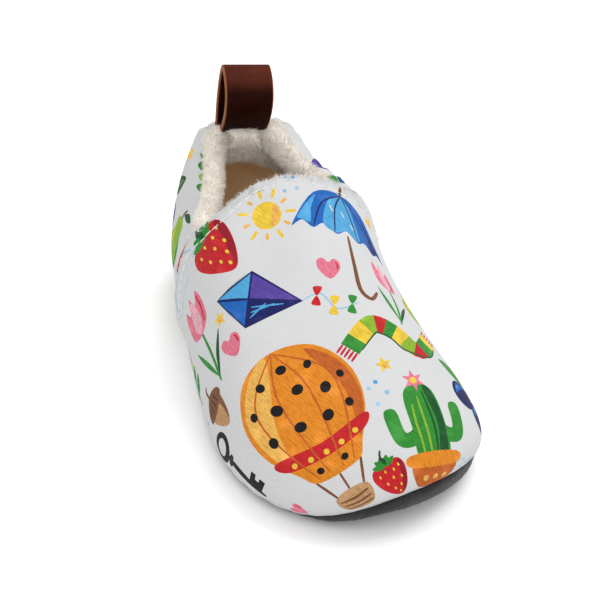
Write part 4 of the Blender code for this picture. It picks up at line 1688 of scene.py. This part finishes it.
def raw_edge_line(last, lift):
    """Points, normals and ways out along the vamp's raw edge, up one side, round the throat and down."""
    across = np.linspace(OUTER_SEAM, INNER_SEAM, RAW_POINTS)
    tops = vamp_top(across)
    climbs = np.linspace(0.0, tops[0], RAW_POINTS)
    outer = np.full(RAW_POINTS, OUTER_SEAM)
    inner = np.full(RAW_POINTS, INNER_SEAM)
    turns = np.concatenate([outer, across[1:-1], inner])
    climb = np.concatenate([climbs, tops[1:-1], climbs[::-1]])
    points = cloth_point(last, turns, climb, lift)
    normals = cloth_normal(last, turns, climb, lift)
    ahead = unit(np.gradient(points, axis=0))
    return points, normals, unit(np.cross(normals, ahead))


def grow_fibres(context, name, points, faces, cover, material, tree, values):
    """Fibres over a surface, as thickly as its cover says at each point."""
    source = mesh_piece(name + "_source", points, faces, material)
    layer = source.data.attributes.new(COVER, "FLOAT", "POINT")
    layer.data.foreach_set("value", np.asarray(cover, dtype=np.float32))
    given = {**values, "Thickness": PILE_THICKNESS, "Material": material}
    settle(grown(context, name, source, tree, given))


class MakeFleece(bpy.types.Operator):
    """Curly fleece inside the collar and along the vamp's raw edge"""

    bl_idname = "slipper.make_fleece"
    bl_label = "Fleece"

    def execute(self, context):
        sizes = context.scene.slipper_sizes
        colours = context.scene.slipper_colours
        last = Last(sizes)
        cream = fleece_finish("cream_fleece", colours.fleece)
        white = fleece_finish("white_fleece", colours.thread)
        tree = pile_tree()
        points, outs = fleece_rows(last, sizes)
        rows = len(points)
        points = tufted(points.reshape(-1, 3), outs.reshape(-1, 3))
        faces = grid_faces(rows, FLEECE_COLUMNS, True)
        settle(mesh_piece("fleece_collar", points, faces, cream))
        turns = np.arange(FLEECE_COLUMNS) / FLEECE_COLUMNS
        cover = np.tile(VAMP_COVER + (1.0 - VAMP_COVER) * at_back(turns, COVER_EASE), rows)
        grow_fibres(context, "fleece_pile", points, faces, cover, cream, tree, {
            "Density": PILE_DENSITY, "Length": PILE_LENGTH, "Lean": PILE_LEAN, "Seed": PILE_SEED})

        line, normals, out = raw_edge_line(last, vamp_lift(last, sizes))
        strip = [line, line - normals * RAW_HALF + out * RAW_BULGE, line - normals * 2.0 * RAW_HALF]
        ragged = tufted(np.concatenate(strip), np.tile(out, (len(strip), 1)) * RAW_LUMPS)
        faces = [tuple(reversed(face)) for face in grid_faces(len(strip), len(line))]
        settle(mesh_piece("raw_edge", ragged, faces, white))
        grow_fibres(context, "raw_edge_fuzz", ragged, faces, np.ones(len(ragged)), white, tree, {
            "Density": RAW_DENSITY, "Length": RAW_LENGTH, "Lean": RAW_LEAN, "Seed": RAW_SEED})
        return {"FINISHED"}


LINING_COLUMNS = 144
LINING_ROWS = 22
# Climb by which the lining goes on behind the fleece, its lift off the wall, and turns over which it pales
LINING_LAP = 0.05
LINING_LIFT = 0.00025
CREAM_EASE = 0.08
INSOLE_THICKNESS = 0.0020
INSOLE_CLEARANCE = 0.0006
INSOLE_CROWN = 0.0008
# How far each row of the insole's edge turns in, as a share of the roll, and its share of the depth
INSOLE_EDGE = ((1.00, 0.0), (0.35, 0.10), (0.08, 0.40), (0.0, 0.75), (0.15, 1.0))
INSOLE_ROLL = 0.0009
PLATE_STRIPS = 14


def plate(name, rings, crowns, material):
    """A closed flat piece from rings listed from its top edge down, its two faces filled and crowned."""
    count = len(rings[0])
    vertices = [vertex for ring in rings for vertex in ring]
    faces = grid_faces(len(rings), count, True)
    faces = [tuple(reversed(face)) for face in faces]
    for ring, first, crown, upward in ((rings[0], 0, crowns[0], True),
                                       (rings[-1], (len(rings) - 1) * count, crowns[1], False)):
        rows = []
        for k in range(count // 2 + 1):
            across = (count - k) % count
            row = [first + k]
            if across != k:
                for step in range(1, PLATE_STRIPS):
                    share = step / PLATE_STRIPS
                    point = ring[k] * (1.0 - share) + ring[across] * share
                    ends = math.sin(math.pi * k / (count // 2)) ** 0.5
                    point[2] += crown * math.sin(math.pi * share) * ends
                    vertices.append(point)
                    row.append(len(vertices) - 1)
                row.append(first + across)
            rows.append(row)
        for near, far in zip(rows, rows[1:]):
            for k in range(PLATE_STRIPS):
                pair = [near[min(k, len(near) - 1)], far[min(k, len(far) - 1)],
                        far[min(k + 1, len(far) - 1)], near[min(k + 1, len(near) - 1)]]
                corners = list(dict.fromkeys(pair))
                faces.append(tuple(corners if upward else reversed(corners)))
    return mesh_piece(name, vertices, faces, material)


def at_height(ring, height):
    moved = ring.copy()
    moved[:, 2] = height
    return moved


class MakeLining(bpy.types.Operator):
    """Smooth lining of the inner wall, and the insole"""

    bl_idname = "slipper.make_lining"
    bl_label = "Lining and insole"

    def execute(self, context):
        sizes = context.scene.slipper_sizes
        last = Last(sizes)
        material = lining_finish(context.scene.slipper_colours)
        turns, shares = np.meshgrid(np.arange(LINING_COLUMNS) / LINING_COLUMNS,
                                    np.linspace(1.0, 0.0, LINING_ROWS))
        climbs = shares * (fleece_end(sizes, turns) + LINING_LAP)
        points = last.inside(turns, climbs, np.full(np.shape(turns), WALL + LINING_LIFT))
        faces = grid_faces(LINING_ROWS, LINING_COLUMNS, True)
        lining = mesh_piece("lining", points.reshape(-1, 3), faces, material)
        cream = lining.data.attributes.new(CREAM, "FLOAT", "POINT")
        cream.data.foreach_set("value", 1.0 - at_back(turns.ravel(), CREAM_EASE).astype(np.float32))
        settle(lining)
        around = np.arange(LINING_COLUMNS) / LINING_COLUMNS
        level = np.zeros_like(around)
        out = last.level_normal(around, level)
        edge = last.inside(around, level) - out * INSOLE_CLEARANCE
        rings = []
        for share_in, share_down in INSOLE_EDGE:
            height = edge[:, 2] + INSOLE_THICKNESS * (1.0 - share_down)
            rings.append(at_height(edge - out * INSOLE_ROLL * share_in, height))
        insole = plate("insole_felt", rings, (INSOLE_CROWN, 0.0), material)
        settle(insole)
        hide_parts("insole")
        return {"FINISHED"}


# Sole

SOLE_COLUMNS = 288
# How far each row of the sole's edge turns in, as a share of the roll, and its share of the height
SOLE_EDGE = ((0.62, 1.03), (0.30, 1.05), (0.12, 1.00), (0.03, 0.88), (0.0, 0.75), (0.0, 0.60), (0.02, 0.45),
             (0.10, 0.30), (0.35, 0.14), (0.65, 0.04), (1.0, 0.0))
SOLE_GAP = 0.0003
# How far the sole curls up under the toe, and how thin it may get there
TOE_LIFT = 0.0030
TOE_LIFT_REACH = 0.16
THIN_SOLE = 0.0024
# Height and size of the suede's unevenness, and the share of the edge's height over which it begins
SOLE_NAP = 0.00016
SOLE_NAP_SIZE = 0.0019
SOLE_NAP_RISE = 0.3


class MakeSole(bpy.types.Operator):
    """Suede sole with a rolled edge"""

    bl_idname = "slipper.make_sole"
    bl_label = "Sole"

    def execute(self, context):
        last = Last(context.scene.slipper_sizes)
        turns = np.arange(SOLE_COLUMNS) / SOLE_COLUMNS
        top = last.sole_edge(turns, 0.0)[:, 2] - SOLE_GAP
        bottom = last.underside(last.sole_edge(turns, -SOLE_ROLL))
        lifted = bottom + TOE_LIFT * smooth((TOE_LIFT_REACH - from_toe(turns)) / TOE_LIFT_REACH)
        bottom = np.maximum(bottom, np.minimum(lifted, top - THIN_SOLE))
        out = last.level_normal(turns, np.zeros_like(turns))
        rings = []
        for share_in, share_up in SOLE_EDGE:
            height = bottom + (top - bottom) * share_up
            ring = at_height(last.sole_edge(turns, -SOLE_ROLL * share_in), height)
            nap = np.array([field.noise(Vector(point) / SOLE_NAP_SIZE) for point in ring])
            rings.append(ring + out * (SOLE_NAP * nap * smooth(share_up / SOLE_NAP_RISE))[:, None])
        sole = plate("suede_sole", rings, (0.0, 0.0), suede_finish(context.scene.slipper_colours))
        settle(sole)
        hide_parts("outsole")
        return {"FINISHED"}


# Pull loop

# Height at which the strap's two legs meet, the loop's opening, and the share of it in front of the join
LOOP_JOIN = 0.0015
LOOP_OPENING = 0.0084
LOOP_FRONT_SHARE = 0.80
# The product of the two sines in the loop's line is 0.77 at its widest
LOOP_FULLNESS = 1.0 / 0.77
# How deep its legs go into the collar, the turn at which it is widest, and how far the legs are apart below
LOOP_TUCK = 0.0035
TUCK_STEPS = 8
LOOP_WIDEST = math.radians(109.5)
LOOP_FRONT_BASE = 0.0027
# How the loop leans back, rolls aside, turns and twists
LOOP_LEAN = math.radians(8)
LOOP_ROLL = math.radians(6)
LOOP_TURN = math.radians(-3)
LOOP_TWIST = math.radians(-4)
LOOP_FORWARD = 0.0002
LOOP_STEPS = 96
LOOP_EDGE_ROUND = 0.00045
# Share of the loop's height above which the leather is painted paler, a painted highlight on its top
HIGHLIGHT_START = 0.80
STRAP_STEPS = 14
CORNER_ANGLES = (0.0, 30.0, 60.0, 90.0)


def loop_path(sizes):
    """Inner line of the strap, bent double, as back and up, with the ways out of it."""
    turn = np.linspace(0.0, FULL_TURN, LOOP_STEPS + 1)
    height = sizes.loop_rise - sizes.strap_thickness - LOOP_JOIN
    reach = np.where(turn < math.pi, LOOP_FRONT_SHARE, 1.0 - LOOP_FRONT_SHARE)
    reach = LOOP_OPENING * LOOP_FULLNESS * reach
    back = -reach * np.sin(turn) * np.sin(turn / 2.0)
    up = LOOP_JOIN + height * (1.0 - np.cos(turn)) / 2.0
    hang = LOOP_FRONT_BASE - (back.min() + LOOP_FRONT_BASE) * smooth(turn / LOOP_WIDEST)
    back = np.where(turn < LOOP_WIDEST, np.minimum(back, -hang), back)
    tuck = np.linspace(-LOOP_TUCK, LOOP_JOIN, TUCK_STEPS)[:-1]
    back = np.concatenate([np.full_like(tuck, -LOOP_FRONT_BASE), back, np.zeros_like(tuck)])
    up = np.concatenate([tuck, up, tuck[::-1]])
    line = np.stack([back, up], axis=1)
    steps = unit(np.gradient(line, axis=0))
    return line, np.stack([-steps[:, 1], steps[:, 0]], axis=1)


def strap_section(sizes):
    """Outline of the strap as across and out, with rounded cut edges, and 1 where it is a cut edge."""
    half = sizes.strap_width / 2.0
    thick = sizes.strap_thickness
    curve = LOOP_EDGE_ROUND
    flat = np.linspace(-half + curve, half - curve, STRAP_STEPS)

    def corner(across, out, first, degrees):
        angles = np.radians(np.array(degrees) + first)
        return [(across + curve * math.sin(a), out + curve * math.cos(a), 1.0) for a in angles]

    outline = [(x, thick, 0.0) for x in flat]
    outline += corner(half - curve, thick - curve, 0.0, CORNER_ANGLES[1:])
    outline += corner(half - curve, curve, 90.0, CORNER_ANGLES)
    outline += [(x, 0.0, 0.0) for x in flat[::-1]]
    outline += corner(curve - half, curve, 180.0, CORNER_ANGLES[1:])
    outline += corner(curve - half, thick - curve, 270.0, CORNER_ANGLES[:-1])
    return np.array(outline)


class MakeLoop(bpy.types.Operator):
    """Folded leather pull loop at the heel"""

    bl_idname = "slipper.make_loop"
    bl_label = "Pull loop"

    def execute(self, context):
        sizes = context.scene.slipper_sizes
        last = Last(sizes)
        line, out = loop_path(sizes)
        section = strap_section(sizes)
        turn = np.array(Euler((LOOP_LEAN, LOOP_ROLL, LOOP_TURN)).to_matrix())
        place = last.heel_rim() - np.array([0.0, LOOP_FORWARD, 0.0])
        vertices = []
        heights = []
        for (back, up), (out_back, out_up) in zip(line, out):
            for across, away, _ in section:
                point_back = back + out_back * away
                point_up = up + out_up * away
                twist = LOOP_TWIST * smooth(point_up / sizes.loop_rise)
                local = np.array([across * math.cos(twist) - point_back * math.sin(twist),
                                  across * math.sin(twist) + point_back * math.cos(twist), point_up])
                vertices.append(turn @ local + place)
                heights.append(point_up / sizes.loop_rise)
        faces = grid_faces(len(line), len(section), True)
        faces.append(tuple(reversed(range(len(section)))))
        faces.append(tuple(range(len(vertices) - len(section), len(vertices))))
        loop = mesh_piece("leather_loop", vertices, faces, leather_finish(context.scene.slipper_colours))
        cut = loop.data.attributes.new(EDGE, "FLOAT", "POINT")
        cut.data.foreach_set("value", np.tile(section[:, 2], len(line)).astype(np.float32))
        # Painted highlight, rising toward the loop's top
        top_highlight = loop.data.attributes.new(LOOP_TOP_HIGHLIGHT, "FLOAT", "POINT")
        highlit_share = smooth((np.array(heights) - HIGHLIGHT_START) / (1.0 - HIGHLIGHT_START))
        top_highlight.data.foreach_set("value", highlit_share.astype(np.float32))
        settle(loop)
        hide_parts("pull_loop")
        return {"FINISHED"}


# Stage

CAMERA_AZIMUTH = math.radians(-19.33)
CAMERA_ELEVATION = math.radians(37.98)
CAMERA_DISTANCE = 0.3606
CAMERA_LENS = 83.84
CAMERA_NEAR = 0.01
# What the camera looks at, measured from the heel's edge on the floor
CAMERA_TARGET = (0.0, -0.061, 0.025)
FLOOR_HALF = 20.0
FLOOR_COLOUR = (0.96, 0.96, 0.96)
STUDIO_COLOUR = (1.0, 1.0, 1.0)
STUDIO_LIGHT = 0.88
# Round soft lights, with their place and width in metres and their power in watts
Lamp = namedtuple("Lamp", "name place width power")
LAMPS = (
    Lamp("key", (0.46, 0.12, 1.00), 0.8, 5.6),
    Lamp("front", (-0.24, -0.60, 1.00), 0.8, 3.7),
)


def place_camera(context, target):
    """The photograph's point of view."""
    out = Vector((math.sin(CAMERA_AZIMUTH) * math.cos(CAMERA_ELEVATION),
                  -math.cos(CAMERA_AZIMUTH) * math.cos(CAMERA_ELEVATION),
                  math.sin(CAMERA_ELEVATION)))
    lens = bpy.data.cameras.new("camera")
    lens.lens = CAMERA_LENS
    lens.clip_start = CAMERA_NEAR
    camera = link_piece("camera", lens)
    camera.location = target + out * CAMERA_DISTANCE
    camera.rotation_euler = (-out).to_track_quat("-Z", "Y").to_euler()
    context.scene.camera = camera


def lay_floor():
    """A wide pale floor."""
    material = new_material("pale_floor", roughness=0.9, colour=FLOOR_COLOUR)[0]
    corners = [(x * FLOOR_HALF, y * FLOOR_HALF, 0.0) for x, y in ((-1, -1), (1, -1), (1, 1), (-1, 1))]
    floor = mesh_piece("floor", corners, [(0, 1, 2, 3)], material, False)


def light_studio(context, target):
    """Even light all round and two soft lights."""
    world = bpy.data.worlds.new("studio")
    world.use_nodes = True
    sky = world.node_tree.nodes["Background"]
    sky.inputs["Color"].default_value = opaque(STUDIO_COLOUR)
    sky.inputs["Strength"].default_value = STUDIO_LIGHT
    context.scene.world = world
    context.scene.view_settings.view_transform = "Standard"
    for lamp in LAMPS:
        data = bpy.data.lights.new(lamp.name, "AREA")
        data.shape = "DISK"
        data.size = lamp.width
        data.energy = lamp.power
        light = link_piece(lamp.name, data)
        light.location = lamp.place
        light.rotation_euler = (target - Vector(lamp.place)).to_track_quat("-Z", "Y").to_euler()


class MakeStage(bpy.types.Operator):
    """Pale floor, soft studio light and the camera"""

    bl_idname = "slipper.make_stage"
    bl_label = "Stage"

    def execute(self, context):
        last = Last(context.scene.slipper_sizes)
        target = Vector(CAMERA_TARGET) + Vector(last.shift)
        place_camera(context, target)
        lay_floor()
        light_studio(context, target)
        return {"FINISHED"}


class SlipperPanel(bpy.types.Panel):
    """Pieces of the slipper and their sizes"""

    bl_idname = "VIEW3D_PT_slipper"
    bl_label = "Slipper"
    bl_space_type = "VIEW_3D"
    bl_region_type = "UI"
    bl_category = "Slipper"

    def draw(self, context):
        layout = self.layout
        for group in (context.scene.slipper_sizes, context.scene.slipper_colours):
            for name in group.bl_rna.properties.keys():
                if name not in ("rna_type", "name"):
                    layout.prop(group, name)
        for step in STEPS:
            layout.operator(step.bl_idname)


STEPS = (MakeSole, MakeLining, MakeFleece, MakeBackPanel, MakeVamp, MakeStitching, MakeLoop, MakeStage)
CLASSES = (SlipperSizes, SlipperColours) + STEPS + (SlipperPanel,)


def register():
    for piece in CLASSES:
        bpy.utils.register_class(piece)
    bpy.types.Scene.slipper_sizes = PointerProperty(type=SlipperSizes)
    bpy.types.Scene.slipper_colours = PointerProperty(type=SlipperColours)


def unregister():
    del bpy.types.Scene.slipper_colours
    del bpy.types.Scene.slipper_sizes
    for piece in reversed(CLASSES):
        bpy.utils.unregister_class(piece)


def main():
    register()
    for step in STEPS:
        group, name = step.bl_idname.split(".")
        getattr(getattr(bpy.ops, group), name)()


if __name__ == "__main__":
    main()
